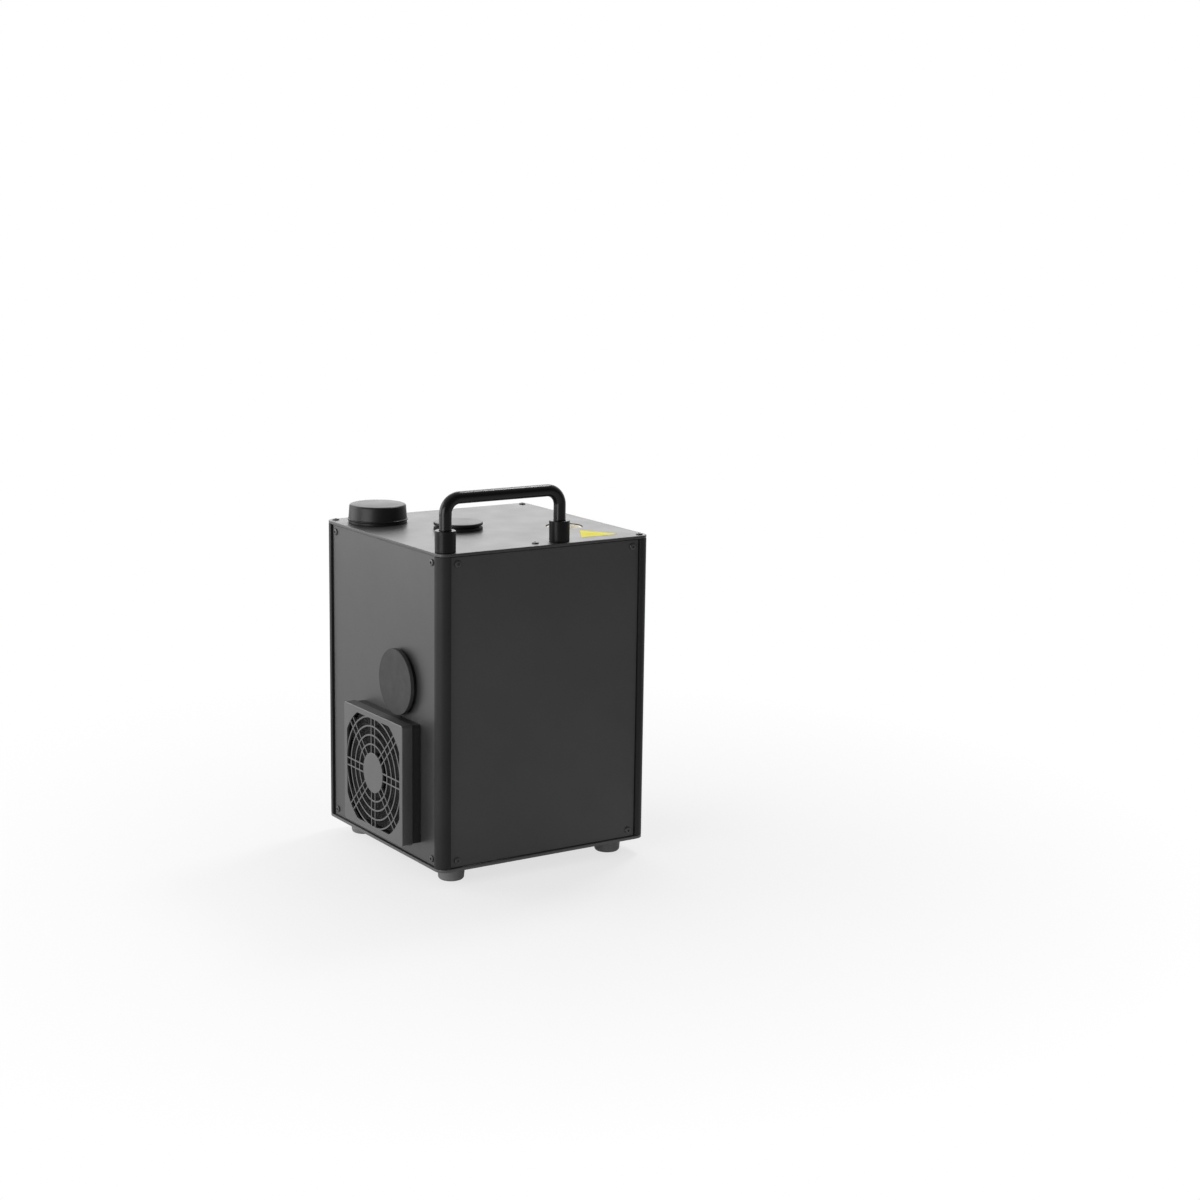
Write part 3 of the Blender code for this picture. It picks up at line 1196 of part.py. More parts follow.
def fan_blade(angle):
    """One twisted blade: thin sections from hub to tip, each turned less than the last."""
    rings = []
    root = FAN_HUB_RADIUS - FAN_BLADE_ROOT
    tip = FAN_BORE_RADIUS - FAN_TIP_PLAY
    for share in (0.0, 0.35, 0.7, 1.0):
        radius = root + (tip - root) * share
        pitch = math.radians(FAN_ROOT_PITCH + (FAN_TIP_PITCH - FAN_ROOT_PITCH) * share)
        chord = FAN_ROOT_CHORD + (FAN_BLADE_CHORD - FAN_ROOT_CHORD) * share
        sweep = angle + FAN_SWEEP * share
        ring = []
        for along, thick in ((-0.5, 0.0), (0.0, 0.5), (0.5, 0.0), (0.0, -0.5)):
            a = along * chord
            t = thick * FAN_BLADE_THICKNESS
            across = a * math.cos(pitch) - t * math.sin(pitch)
            z = a * math.sin(pitch) + t * math.cos(pitch)
            turn = sweep + across / radius
            ring.append((radius * math.cos(turn), radius * math.sin(turn), z))
        rings.append(ring)
    return loft(rings)


def build_fan():
    """Axial cooling fan behind the left panel: its frame with the motor's struts, and its rotor."""
    front = -POST_SEAT
    back = front - FAN_DEPTH
    place = side_place("left", -GUARD_Y, GUARD_Z)
    frame = solid("fan_frame", [prism(rounded(FAN_SIZE, FAN_SIZE, FAN_CORNER), back, front)],
                  "black_plastic", place)
    bore = rod(FAN_SCREW_RADIUS + BORE_PLAY, back - OVERRUN, front + OVERRUN)
    cut(frame, [rod(FAN_BORE_RADIUS, back - OVERRUN, front + OVERRUN, FINE)]
        + [moved(bore, at(x, y)) for x, y in fan_screw_points()])
    seat_high = back + FAN_STRUT_THICKNESS
    struts = [rod(FAN_HUB_RADIUS, back, seat_high, MEDIUM)]
    arm_end = FAN_BORE_RADIUS + OVERRUN
    arm = shifted(rectangle(arm_end, FAN_STRUT), arm_end / 2, 0)
    bar = prism(arm, back + FAN_STRUT_SINK, seat_high - FAN_STRUT_SINK)
    for i in range(FAN_STRUTS):
        struts.append(moved(bar, Matrix.Rotation(2 * math.pi * (i + 0.5) / FAN_STRUTS, 4, "Z")))
    fuse(frame, struts, crossing=True)
    cut(frame, [rod(FAN_AXLE_RADIUS + BORE_PLAY, back - OVERRUN, seat_high + OVERRUN)])

    hub_low = seat_high + 2 * GAP
    hub_high = front - FAN_HUB_SHORT
    middle = (hub_low + hub_high) / 2
    place_rotor = side_place("left", -GUARD_Y, GUARD_Z, middle)
    half = (hub_high - hub_low) / 2
    tail = -half - FAN_STRUT_THICKNESS
    edge = FAN_HUB_EDGE
    hub = [(0, half), (FAN_HUB_RADIUS - edge, half), (FAN_HUB_RADIUS, half - edge),
           (FAN_HUB_RADIUS, -half), (FAN_AXLE_RADIUS, -half), (FAN_AXLE_RADIUS, tail), (0, tail)]
    rotor = solid("fan_rotor", [lathe(hub, MEDIUM)], "black_plastic", place_rotor)
    fuse(rotor, [fan_blade(2 * math.pi * i / FAN_BLADES) for i in range(FAN_BLADES)], crossing=True)


def plug_profile(radius, disc, neck, spigot, depth, seat, edge):
    """A mushroom plug: disc, groove and spigot, standing on a ring whose top is at seat."""
    low = seat + GAP
    disc_low = low + PLUG_GROOVE
    disc_high = disc_low + disc
    return [(0, disc_high), (radius - edge, disc_high), (radius, disc_high - edge), (radius, disc_low),
            (neck, disc_low), (neck, low), (spigot, low), (spigot, low - depth), (0, low - depth)]


def ring_profile(radius, flange, bore, spigot, back, through):
    """A flanged ring: its flange on the sheet at back, its spigot through the sheet."""
    low = back - through - RING_BELOW
    return [(bore, low), (spigot, low), (spigot, back), (radius, back), (radius, back + flange),
            (bore, back + flange)]


def build_plugs():
    """The side plug above the guard and the top plug near the middle, each in its own ring."""
    place = side_place("left", -SIDE_PLUG_Y, SIDE_PLUG_Z)
    back = -PANEL_RECESS + GAP
    ring = ring_profile(SIDE_RING_RADIUS, SIDE_RING_FLANGE, SIDE_RING_BORE, SIDE_RING_SPIGOT, back,
                        PANEL_THICKNESS)
    solid("side_port_ring", [lathe(ring, FINE)], "black_plastic", place)
    plug = plug_profile(SIDE_PLUG_RADIUS, SIDE_PLUG_DISC, SIDE_PLUG_NECK, SIDE_RING_BORE - GAP,
                        SIDE_PLUG_DEPTH, back + SIDE_RING_FLANGE, SIDE_PLUG_EDGE)
    solid("side_plug", [lathe(plug, FINE)], "grey_plastic", place)

    place = at(TOP_PLUG_X, TOP_PLUG_Y, TOP_FACE)
    ring = ring_profile(TOP_RING_RADIUS, TOP_RING_FLANGE, TOP_RING_BORE, TOP_RING_SPIGOT, GAP,
                        TOP_THICKNESS)
    solid("top_port_ring", [lathe(ring, FINE)], "black_plastic", place)
    plug = plug_profile(TOP_PLUG_RADIUS, TOP_PLUG_DISC, TOP_PLUG_NECK, TOP_RING_BORE - GAP,
                        TOP_PLUG_DEPTH, GAP + TOP_RING_FLANGE, TOP_PLUG_EDGE)
    solid("top_plug", [lathe(plug, FINE)], "black_plastic", place)


def button_xs():
    """Places of the buttons across the housing, under the display."""
    start = DISPLAY_X - BUTTON_PITCH * (BUTTON_COUNT - 1) / 2
    return [start + i * BUTTON_PITCH for i in range(BUTTON_COUNT)]


def build_controls():
    """Display window, push buttons, and the board that holds display and switches behind them."""
    window = rounded(DISPLAY_WIDTH, DISPLAY_HEIGHT, WINDOW_CORNER)
    low = -PANEL_RECESS + GAP
    solid("display_window", [prism(window, low, low + WINDOW_THICKNESS)], "glass",
          side_place("rear", -DISPLAY_X, DISPLAY_Z))

    high = -PANEL_RECESS + BUTTON_PROUD
    collar_high = -PANEL_BACK - GAP
    collar_low = collar_high - BUTTON_COLLAR
    stem_low = collar_low - BUTTON_STEM
    edge = BUTTON_EDGE
    collar = BUTTON_RADIUS + BUTTON_COLLAR_WIDTH
    button = [(0, high), (BUTTON_RADIUS - edge, high), (BUTTON_RADIUS, high - edge),
              (BUTTON_RADIUS, collar_high), (collar, collar_high), (collar, collar_low),
              (BUTTON_STEM_RADIUS, collar_low), (BUTTON_STEM_RADIUS, stem_low), (0, stem_low)]
    for i, x in enumerate(button_xs()):
        solid(f"button_{i + 1}", [lathe(button, BUTTON_SIDES)], "grey_plastic",
              side_place("rear", -x, DISPLAY_Z - BUTTON_DROP))

    front = -PANEL_BACK - GAP - BOARD_STANDOFF
    back = front - BOARD_THICKNESS
    centre_z = DISPLAY_Z - BUTTON_DROP / 2
    board = solid("control_board", [prism(rectangle(BOARD_WIDTH, BOARD_HEIGHT), back, front)], "board",
                  side_place("rear", -DISPLAY_X, centre_z))
    x = BOARD_WIDTH / 2 - STANDOFF_RADIUS
    y = BOARD_HEIGHT / 2 - STANDOFF_RADIUS
    inside = back + BITE
    post = rod(STANDOFF_RADIUS, inside, -PANEL_BACK - GAP)
    extras = [moved(post, at(sx * x, sy * y)) for sx in (-1, 1) for sy in (-1, 1)]
    screen = rectangle(DISPLAY_WIDTH - DISPLAY_MARGIN, DISPLAY_HEIGHT - DISPLAY_MARGIN)
    solid("display_screen", [prism(screen, front + GAP, -PANEL_BACK - GAP)], "glass",
          side_place("rear", -DISPLAY_X, DISPLAY_Z))
    switch = prism(rectangle(SWITCH_SIZE, SWITCH_SIZE), inside, stem_low - BUTTON_TRAVEL - GAP)
    row = DISPLAY_Z - BUTTON_DROP - centre_z
    extras += [moved(switch, at(DISPLAY_X - button_x, row)) for button_x in button_xs()]
    fuse(board, extras)


def rocker_profile():
    """The rocker's section: round below its pivot, two slopes meeting in a valley on top."""
    crest = ROCKER_RADIUS - ROCKER_CREST_IN
    top = [(crest, ROCKER_CREST), (0, ROCKER_VALLEY), (-crest, ROCKER_CREST)]
    return top + arc(0, 0, ROCKER_RADIUS, 180, 360, 8)


def build_power_module():
    """Power module: inlet with its three blades, fuse drawer and rocker switch in one frame."""
    place = side_place("rear", -MODULE_X, MODULE_Z)
    back = -PANEL_RECESS + GAP
    flange = prism(rounded(MODULE_WIDTH, MODULE_HEIGHT, MODULE_CORNER), back, FLANGE_FRONT)
    module = solid("power_module", [flange], "black_plastic", place)
    body_low = back - MODULE_BODY_DEPTH
    fuse(module, [prism(rectangle(MODULE_BODY_WIDTH, MODULE_BODY_HEIGHT), body_low, back + BITE)])
    chop = INLET_CORNER
    x = INLET_WIDTH / 2
    y = INLET_HEIGHT / 2
    inlet = [(x, y), (-x, y), (-x, chop - y), (chop - x, -y), (x - chop, -y), (x, chop - y)]
    inlet = shifted(inlet, 0, -INLET_DROP)
    slot = shifted(rectangle(DRAWER_WIDTH + 2 * GAP, DRAWER_HEIGHT + 2 * GAP), 0, DRAWER_RISE)
    rocker_room = ROCKER_RADIUS + ROCKER_PLAY
    window = shifted(rectangle(ROCKER_WIDTH + 2 * ROCKER_PLAY, 2 * rocker_room), 0, ROCKER_RISE)
    proud = FLANGE_FRONT + OVERRUN
    inlet_deep = FLANGE_FRONT - INLET_DEPTH
    cut(module, [prism(inlet, inlet_deep, proud),
                 prism(slot, FLANGE_FRONT - DRAWER_DEPTH - GAP, proud),
                 prism(window, FLANGE_FRONT - ROCKER_PIVOT_DEPTH - rocker_room, proud)])
    pin = prism(rectangle(PIN_WIDTH, PIN_HEIGHT), inlet_deep - BITE, FLANGE_FRONT - PIN_SHORT)
    fuse(module, [moved(pin, at(side * PIN_ACROSS, -INLET_DROP + (PIN_UP if side == 0 else -PIN_UP)))
                  for side in (-1, 0, 1)])

    lip_back = FLANGE_FRONT + GAP
    tray = prism(rectangle(DRAWER_WIDTH, DRAWER_HEIGHT), FLANGE_FRONT - DRAWER_DEPTH, lip_back + BITE)
    drawer = solid("fuse_drawer", [tray], "black_plastic",
                   side_place("rear", -MODULE_X, MODULE_Z + DRAWER_RISE))
    lip = rounded(DRAWER_WIDTH + 2 * DRAWER_LIP_BORDER, DRAWER_HEIGHT + 2 * DRAWER_LIP_BORDER,
                  DRAWER_LIP_CORNER, 2)
    fuse(drawer, [prism(lip, lip_back, lip_back + DRAWER_LIP)])

    pivot = side_place("rear", -MODULE_X, MODULE_Z + ROCKER_RISE, FLANGE_FRONT - ROCKER_PIVOT_DEPTH)
    lay = Matrix.Rotation(math.radians(90), 4, "Y") @ Matrix.Rotation(math.radians(90), 4, "Z")
    tilt = Matrix.Rotation(math.radians(-ROCKER_TILT), 4, "X")
    half = ROCKER_WIDTH / 2
    bar = moved(prism(rocker_profile(), -half, half), tilt @ lay)
    solid("power_rocker", [bar], "black_plastic", pivot)


def signal_pin_points():
    """The three contacts, on a circle, one of them at the bottom."""
    angles = [math.radians(a) for a in (270, 30, 150)]
    return [(SIGNAL_PIN_CIRCLE * math.cos(a), SIGNAL_PIN_CIRCLE * math.sin(a)) for a in angles]


def build_signal_sockets():
    """Signal input with three pins, signal output with three holes, a ring slot and a latch."""
    back = -PANEL_RECESS + GAP
    flange = prism(rounded(SIGNAL_WIDTH, SIGNAL_HEIGHT, SIGNAL_CORNER), back, FLANGE_FRONT)
    barrel = rod(SIGNAL_BODY_RADIUS, back - SIGNAL_BODY_DEPTH, back + BITE, MEDIUM)
    deep = FLANGE_FRONT - SIGNAL_CAVITY_DEPTH
    proud = FLANGE_FRONT + OVERRUN

    socket = solid("signal_input", [flange], "black_steel", side_place("rear", -SIGNAL_IN_X, SIGNAL_Z))
    fuse(socket, [barrel])
    cut(socket, [rod(SIGNAL_CAVITY_RADIUS, deep, proud, MEDIUM)])
    pin = rod(SIGNAL_PIN_RADIUS, deep - BITE, FLANGE_FRONT - SIGNAL_PIN_SHORT)
    fuse(socket, [moved(pin, at(x, y)) for x, y in signal_pin_points()])

    socket = solid("signal_output", [flange], "black_steel", side_place("rear", -SIGNAL_OUT_X, SIGNAL_Z))
    fuse(socket, [barrel])
    slot_in = SIGNAL_CAVITY_RADIUS - SIGNAL_SLOT
    slot = lathe([(slot_in, deep), (SIGNAL_CAVITY_RADIUS, deep), (SIGNAL_CAVITY_RADIUS, proud),
                  (slot_in, proud)], MEDIUM)
    hole = rod(SIGNAL_PIN_RADIUS + GAP, deep, proud)
    holes = [moved(hole, at(x, y)) for x, y in signal_pin_points()]
    latch_room = prism(rectangle(LATCH_WIDTH + 2 * GAP, LATCH_HEIGHT + 2 * GAP),
                       FLANGE_FRONT - LATCH_DEPTH - LATCH_TRAVEL - 2 * GAP, proud)
    cut(socket, [slot, moved(latch_room, at(0, LATCH_RISE))] + holes)
    latch = prism(rectangle(LATCH_WIDTH, LATCH_HEIGHT), FLANGE_FRONT - LATCH_DEPTH,
                  FLANGE_FRONT + LATCH_PROUD)
    solid("output_latch", [latch], "black_steel",
          side_place("rear", -SIGNAL_OUT_X, SIGNAL_Z + LATCH_RISE))


def build_power_supply():
    """Sheet-metal power supply that stands on the base plate against the right panel."""
    x_high = WIDTH / 2 - PANEL_BACK - GAP
    place = at(x_high - SUPPLY_WIDTH / 2, DEPTH / 2 - SUPPLY_IN_Y, BASE_TOP + GAP)
    case = solid("power_supply", [prism(rectangle(SUPPLY_WIDTH, SUPPLY_DEPTH), 0, SUPPLY_HEIGHT)],
                 "aluminium", place)
    inside = rectangle(SUPPLY_WIDTH - 2 * SUPPLY_WALL, SUPPLY_DEPTH - 2 * SUPPLY_WALL)
    cut(case, [prism(inside, SUPPLY_WALL, SUPPLY_HEIGHT + OVERRUN)])


def build_machine():
    """Every sub-part, on one frame under the middle of the housing."""
    clear_scene()
    frame = bpy.data.objects.new("machine_frame", None)
    bpy.context.scene.collection.objects.link(frame)
    frame.location = (HOUSING_X, HOUSING_Y, 0)
    build_posts()
    build_plates()
    build_panels()
    build_feet()
    build_handle()
    build_filler()
    build_hopper()
    build_feed()
    build_nozzle()
    build_blower()
    build_guard()
    build_fan()
    build_plugs()
    build_controls()
    build_power_module()
    build_signal_sockets()
    build_power_supply()
    bpy.context.view_layer.update()


build_machine()
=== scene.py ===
"""Looks of the cold spark machine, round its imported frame.

Metres, +Z up, in the frame's own place: the plain front panel faces -Y and the filter guard -X.
Each piece is a surface worked out on a grid, a flat outline with its holes, or a node's own solid
with its edges rounded, and it rides on the body of the node that it stands for. Screw heads and the
patch stand for no node and ride on the housing. On a side, a piece is worked out with X to the
right, Y up and Z out of the side, and then carried to its place.
"""
import json
import math

import bmesh
import bpy
import numpy as np
from mathutils import Matrix, Vector


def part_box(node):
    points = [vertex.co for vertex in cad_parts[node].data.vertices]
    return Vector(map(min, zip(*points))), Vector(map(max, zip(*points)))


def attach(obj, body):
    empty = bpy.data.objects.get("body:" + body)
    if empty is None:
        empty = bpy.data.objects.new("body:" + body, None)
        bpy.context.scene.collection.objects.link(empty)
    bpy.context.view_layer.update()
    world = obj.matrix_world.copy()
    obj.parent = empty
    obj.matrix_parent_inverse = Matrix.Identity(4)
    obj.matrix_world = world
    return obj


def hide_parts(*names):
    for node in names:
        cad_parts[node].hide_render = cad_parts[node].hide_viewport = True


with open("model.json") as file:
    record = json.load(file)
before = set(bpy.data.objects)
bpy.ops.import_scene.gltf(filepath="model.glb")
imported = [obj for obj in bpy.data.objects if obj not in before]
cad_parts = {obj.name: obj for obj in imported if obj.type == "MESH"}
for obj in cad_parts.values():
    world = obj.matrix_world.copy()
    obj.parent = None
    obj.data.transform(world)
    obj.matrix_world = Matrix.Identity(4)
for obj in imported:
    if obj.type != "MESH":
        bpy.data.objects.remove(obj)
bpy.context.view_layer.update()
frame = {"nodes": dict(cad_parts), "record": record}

# Clearance between pieces that touch
GAP = 0.0003

# Housing: plates, panels and corner posts, and the seams between posts and panels
PLATE = 0.003
SHEET = 0.0015
RECESS = 0.002
CORNER_RADIUS = 0.010
PLATE_EDGE = 0.00045
SHEET_EDGE = 0.0003
LIP = 0.012
FLANGE = 0.027
FLANGE_THICKNESS = 0.003
CORE = 0.0165
SEAMS = {"front": 0.0009, "right": 0.002, "rear": 0.002, "left": 0.002}
END_SEAM = 0.0007

# Screw heads; side, shoulder and crown are shares of the head's height, the crown also of its radius
HEAD_RADIUS = 0.0034
HEAD_HEIGHT = 0.0015
HEAD_EDGE = 0.0006
HEAD_SIDE = 0.35
HEAD_SHOULDER = 0.5
CROWN_HEIGHT = 0.97
CROWN_RADIUS = 0.62

# Their hexagon sockets: half the width, which mouth and floor are shares of, edge and depth
SOCKET = 0.00125
SOCKET_MOUTH = 1.12
SOCKET_FLOOR = 0.98
SOCKET_EDGE = 0.0001
SOCKET_DEPTH = 0.0010

# Where screws are, in from the edges, and how far each is turned from the last, in degrees
PANEL_SCREW_IN = 0.020
PANEL_SCREW_END = 0.0103
PLATE_SCREW_IN = 0.008
FRONT_SCREW_ALONG = 0.101
FRONT_SCREW_IN = 0.013
SCREW_TURN = 23

# Handle
BAR_RADIUS = 0.006
BAR_BEND = 0.015
BEND_STEPS = 28
SLEEVE_EDGE = 0.0007
SLEEVE_FOOT = 0.0002

# Filler neck, heights above the top plate; the ridge's half width is a share of its lead
NECK_RADIUS = 0.0248
NECK_BORE = 0.022
NECK_TOP = 0.013
NECK_FLANGE = 0.0298
NECK_FLANGE_TOP = 0.0025
NECK_FLANGE_EDGE = 0.0006
NECK_COLLAR = 0.001
THREAD_LEAD = 0.006
THREAD_ROOT = 0.0001
THREAD_HEIGHT = 0.0008
THREAD_HALF_WIDTH = 0.16
THREAD_START = 0.0012
THREAD_END = 0.0008
THREAD_FADE = 0.001
THREAD_ROW = 0.00018

# Filler cap, heights above the top plate
CAP_BOTTOM = 0.0028
CAP_BEAD = 0.0012
CAP_BEAD_DEPTH = 0.0009
BEAD_EDGE = 0.0002
BEAD_CREST = 0.00025
BEAD_SLOPE = 0.0004
CAP_SHOULDER = 0.0288
CAP_INSIDE = 0.026
CAP_CEILING = 0.015
CAP_EDGE = 0.0022
CAP_DOME = 0.0018
DOME_START = 0.0003
DOME_ROWS = 24

# Plugs and their rings: radii, the discs' thickness, and the radii of rounded edges
TOP_RING_BORE = 0.0190
TOP_RING_SPIGOT = 0.0212
TOP_RING_EDGE = 0.0006
TOP_PLUG_DISC = 0.003
TOP_PLUG_NECK = 0.021
TOP_PLUG_SPIGOT = 0.0187
TOP_PLUG_TIP = 0.0185
TOP_PLUG_CROWN = 0.7
TOP_PLUG_CROWN_FALL = 0.00005
TOP_PLUG_CROWN_ROUND = 0.004
TOP_PLUG_RIM_IN = 0.0002
TOP_PLUG_RIM_FALL = 0.0004
TOP_PLUG_EDGE = 0.0011
TOP_PLUG_UNDER_EDGE = 0.0004
SIDE_RING_BORE = 0.026
SIDE_RING_SPIGOT = 0.028
SIDE_RING_EDGE = 0.0004
SIDE_PLUG_DISC = 0.004
SIDE_PLUG_NECK = 0.029
SIDE_PLUG_SPIGOT = 0.0257
SIDE_PLUG_TIP = 0.0255
SIDE_PLUG_EDGE = 0.0006
SIDE_PLUG_UNDER_EDGE = 0.0005
RING_BORE_EDGE = 0.0003
NECK_EDGE = 0.0003
TIP_EDGE = 0.001

# Nozzle liner
LINER_WALL = 0.0023
LINER_EDGE = 0.0004
LINER_BORE_EDGE = 0.0006

# Yellow patch on the top plate, from the front left corner of the housing
PATCH_LEFT = 0.171
PATCH_RIGHT = 0.215
PATCH_FRONT = 0.0195
PATCH_TIP = (0.193, 0.057)
PATCH_THICKNESS = 0.00015
PATCH_CORNER = 0.0012
PATCH_EDGE = 0.00005

# Filter guard's cover and tray, heights out of the posts' face; a strip lies beside a rounded edge
GUARD_SPLIT = 0.0073
GUARD_FLOOR = 0.0024
GUARD_WALL = 0.0022
TRAY_OVERLAP = 0.0006
TRAY_SINK = 0.0001
COVER_WALL = 0.0025
COVER_FACE = 0.0025
COVER_CORNER = 0.003
COVER_EDGE = 0.0007
INSIDE_CORNER = 0.001
EDGE_STRIP = 0.0002
OPENING_BORDER = 0.006
OPENING_CORNER = 0.0092
OPENING_EDGE = 0.0003
SIDE_STEPS = 60
CORNER_STEPS = 14
FAN_OPENING = 0.0565
FAN_SCREW_SPACING = 0.0525
FAN_SCREW_HEAD = 0.0036
FAN_SCREW_HEIGHT = 0.0022

# Grille
HUB_RADIUS = 0.0204
HUB_EDGE = 0.0005
RING_START = 0.0289
RING_BEYOND = 0.0014
RINGS = 4
RIB = 0.0017
RIB_EDGE = 0.0003
SPOKE = 0.0015
SPOKE_BEYOND = 0.0006
SPOKE_PAIRS = 8
PAIR_SPACING = 0.0075
RING_SINK = 0.00030
SPOKE_SINK = 0.00024

# Foam: pores, which drift by a share of a pore in slow waves, so many radians in so many pores
FOAM_CUT = 0.018
FOAM_STEPS = 560
FOAM_ROWS = 110
FOAM_BACK_ROW = 12
PORE = 0.0011
PORE_DEPTH = 0.0005
DRIFT = 0.35
DRIFT_TURN = 17
DRIFT_PORES = 40

# Feet
FOOT_SIDE = 0.0126
FOOT_EDGE = 0.003
FOOT_TOP_EDGE = 0.0004
FOOT_RECESS = 0.005
FOOT_RECESS_DEPTH = 0.009
FOOT_RECESS_EDGE = 0.0005
FOOT_SCREW_RADIUS = 0.004
FOOT_SCREW_HEIGHT = 0.0022

# Openings of the rear panel
VENTS = 8
VENT_PITCH = 0.009
VENT_WIDTH = 0.003
VENT_LENGTH = 0.040
VENT_X = 0.055
VENT_Z = 0.086
VENT_END_FLAT = 0.00001
WINDOW_MARGIN = 0.004
WINDOW_CORNER = 0.002
WINDOW_HOLE_CORNER = 0.001
MODULE_CUT_WIDTH = 0.0295
MODULE_CUT_HEIGHT = 0.0475
MODULE_CUT_CORNER = 0.0015
SIGNAL_HOLE = 0.0119

# Push buttons: a dished cap, a collar behind the panel and a stem
BUTTONS = 4
BUTTON_PLAY = 0.0004
BUTTON_DISH = 0.0004
BUTTON_TAPER = 0.0001
BUTTON_EDGE = 0.0006
DISH_RADIUS = 0.55
DISH_RIM = 0.0003
DISH_ROUND = 0.002
COLLAR = 0.0012
COLLAR_THICKNESS = 0.0012
COLLAR_EDGE = 0.0002
BUTTON_STEM = 0.002

# Steps round a full circle, from large pieces to small ones
ROUND = 160
MEDIUM_ROUND = 96
BUTTON_ROUND = 64
SMALL_ROUND = 48

# Points nearer than this are one, a radius below this is on the axis, no length is divided by less
# than this, and points this far from a corner keep the face beside it flat
WELD = 1e-6
ON_AXIS = 1e-9
TINY = 1e-12
HOLD = 0.00015

# In degrees: a piece's edges stay sharp from the first, a node's are rounded from the second, and
# its faces that meet at less than the third are one; the weight keeps large faces flat in shading
SHARP = 38
ROUNDED_FROM = 30
ONE_FACE = 1
FLAT_WEIGHT = 80


def corners(node):
    """Lowest and highest corner of a node of the frame, as arrays."""
    low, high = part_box(node)
    return np.array(low), np.array(high)


plate_low, plate_high = corners("top_plate")
post_low, post_high = corners("post_front_left")
LEFT_FACE, FRONT_FACE = plate_low[:2]
RIGHT_FACE, REAR_FACE = plate_high[:2]
MIDDLE_X = (LEFT_FACE + RIGHT_FACE) / 2
MIDDLE_Y = (FRONT_FACE + REAR_FACE) / 2
HALF = (RIGHT_FACE - LEFT_FACE) / 2
TOP_FACE = post_high[2] + GAP + PLATE
BASE_UNDER = post_low[2] - GAP - PLATE
PANEL_FACE = -RECESS
PANEL_BACK = -RECESS - SHEET

# Turns of the four sides: local +Z looks out of the side, local +Y stays up
SIDE_TURNS = {
    "front": Matrix(((1, 0, 0), (0, 0, -1), (0, 1, 0))),
    "right": Matrix(((0, 0, 1), (1, 0, 0), (0, 1, 0))),
    "rear": Matrix(((-1, 0, 0), (0, 0, 1), (0, 1, 0))),
    "left": Matrix(((0, 0, -1), (-1, 0, 0), (0, 1, 0))),
}

# For screws that look down
UPSIDE_DOWN = Matrix.Rotation(math.pi, 4, "X")


def at(x, y, z):
    """A plain shift."""
    return Matrix.Translation((x, y, z))


def on_side(side, along, up):
    """Place on a side's posts' face: along in the frame's own X or Y, up from the floor."""
    places = {"front": (along, FRONT_FACE), "right": (RIGHT_FACE, along),
              "rear": (along, REAR_FACE), "left": (LEFT_FACE, along)}
    return at(*places[side], up) @ SIDE_TURNS[side].to_4x4()


def middle_of(node):
    """The middle of a node's box."""
    low, high = corners(node)
    return (low + high) / 2


def half_of(node, axis=0):
    """Half of a node's box along X, or along another axis."""
    low, high = corners(node)
    return (high[axis] - low[axis]) / 2


def upright(node, z):
    """Place on the upright axis through a node's middle, at a height."""
    x, y, _ = middle_of(node)
    return at(x, y, z)


def add_object(name, data):
    """A new object with this data, in the scene."""
    made = bpy.data.objects.new(name, data)
    bpy.context.scene.collection.objects.link(made)
    return made


# Materials: noise is counted in patches to a metre, heights are metres, tones and gloss are shares

# Mouldings: the gloss changes in patches that are so much finer than the tone's
GLOSS_RANGE = (0.93, 1.07)
GLOSS_FINER = 2.3

# Powder coat
COAT_TONES = (0.9, 1.12)
COAT_TONE_PATCH = 9.0
COAT_GLOSS = (0.94, 1.06)
COAT_GLOSS_PATCH = 30.0
PEEL_SCALE = 420.0
PEEL_HEIGHT = 0.00002
PIMPLE_SCALE = 1500.0
PIMPLE_HEIGHT = 0.00001

# Foam: the pores' tone, painted near black as the shade inside them, then the struts' tone; a strut fades
# over this range of distance from a cell's edge, in cells
FOAM_SHADED_PORES_AND_STRUTS = (0.25, 9.0)
FOAM_STRUT = (0.02, 0.22)
FOAM_BUMP = 0.0003

# Brushed metal: the pattern is drawn out along Z
BRUSH_SCALE = 900.0
BRUSH_STRETCH = (1.0, 1.0, 0.02)
BRUSH_GLOSS = (0.8, 1.25)
BRUSH_HEIGHT = 0.000006


def new_finish(name, colour, roughness, **sockets):
    """A Principled material and its shader; the other sockets are named with spaces as underscores."""
    made = bpy.data.materials.new(name)
    made.use_nodes = True
    shader = made.node_tree.nodes["Principled BSDF"]
    shader.inputs["Base Color"].default_value = (*colour, 1.0)
    shader.inputs["Roughness"].default_value = roughness
    for socket, value in sockets.items():
        shader.inputs[socket.replace("_", " ")].default_value = value
    return made, shader


def point_of(tree, output="Object"):
    """Where a point is, in the object's own metres, or by another output of Texture Coordinate."""
    return tree.nodes.new("ShaderNodeTexCoord").outputs[output]


def noise(tree, scale, detail, stretch=(1, 1, 1)):
    """Noise in the object's own metres, scale counted in patches to a metre."""
    mapping = tree.nodes.new("ShaderNodeMapping")
    mapping.inputs["Scale"].default_value = stretch
    pattern = tree.nodes.new("ShaderNodeTexNoise")
    pattern.inputs["Scale"].default_value = scale
    pattern.inputs["Detail"].default_value = detail
    tree.links.new(point_of(tree), mapping.inputs["Vector"])
    tree.links.new(mapping.outputs["Vector"], pattern.inputs["Vector"])
    return pattern.outputs["Fac"]


def spread(tree, value, low, high, start=0.3, end=0.7):
    """A value's range from start to end, laid out from low to high."""
    ramp = tree.nodes.new("ShaderNodeMapRange")
    for socket, number in (("From Min", start), ("From Max", end), ("To Min", low), ("To Max", high)):
        ramp.inputs[socket].default_value = number
    tree.links.new(value, ramp.inputs["Value"])
    return ramp.outputs["Result"]


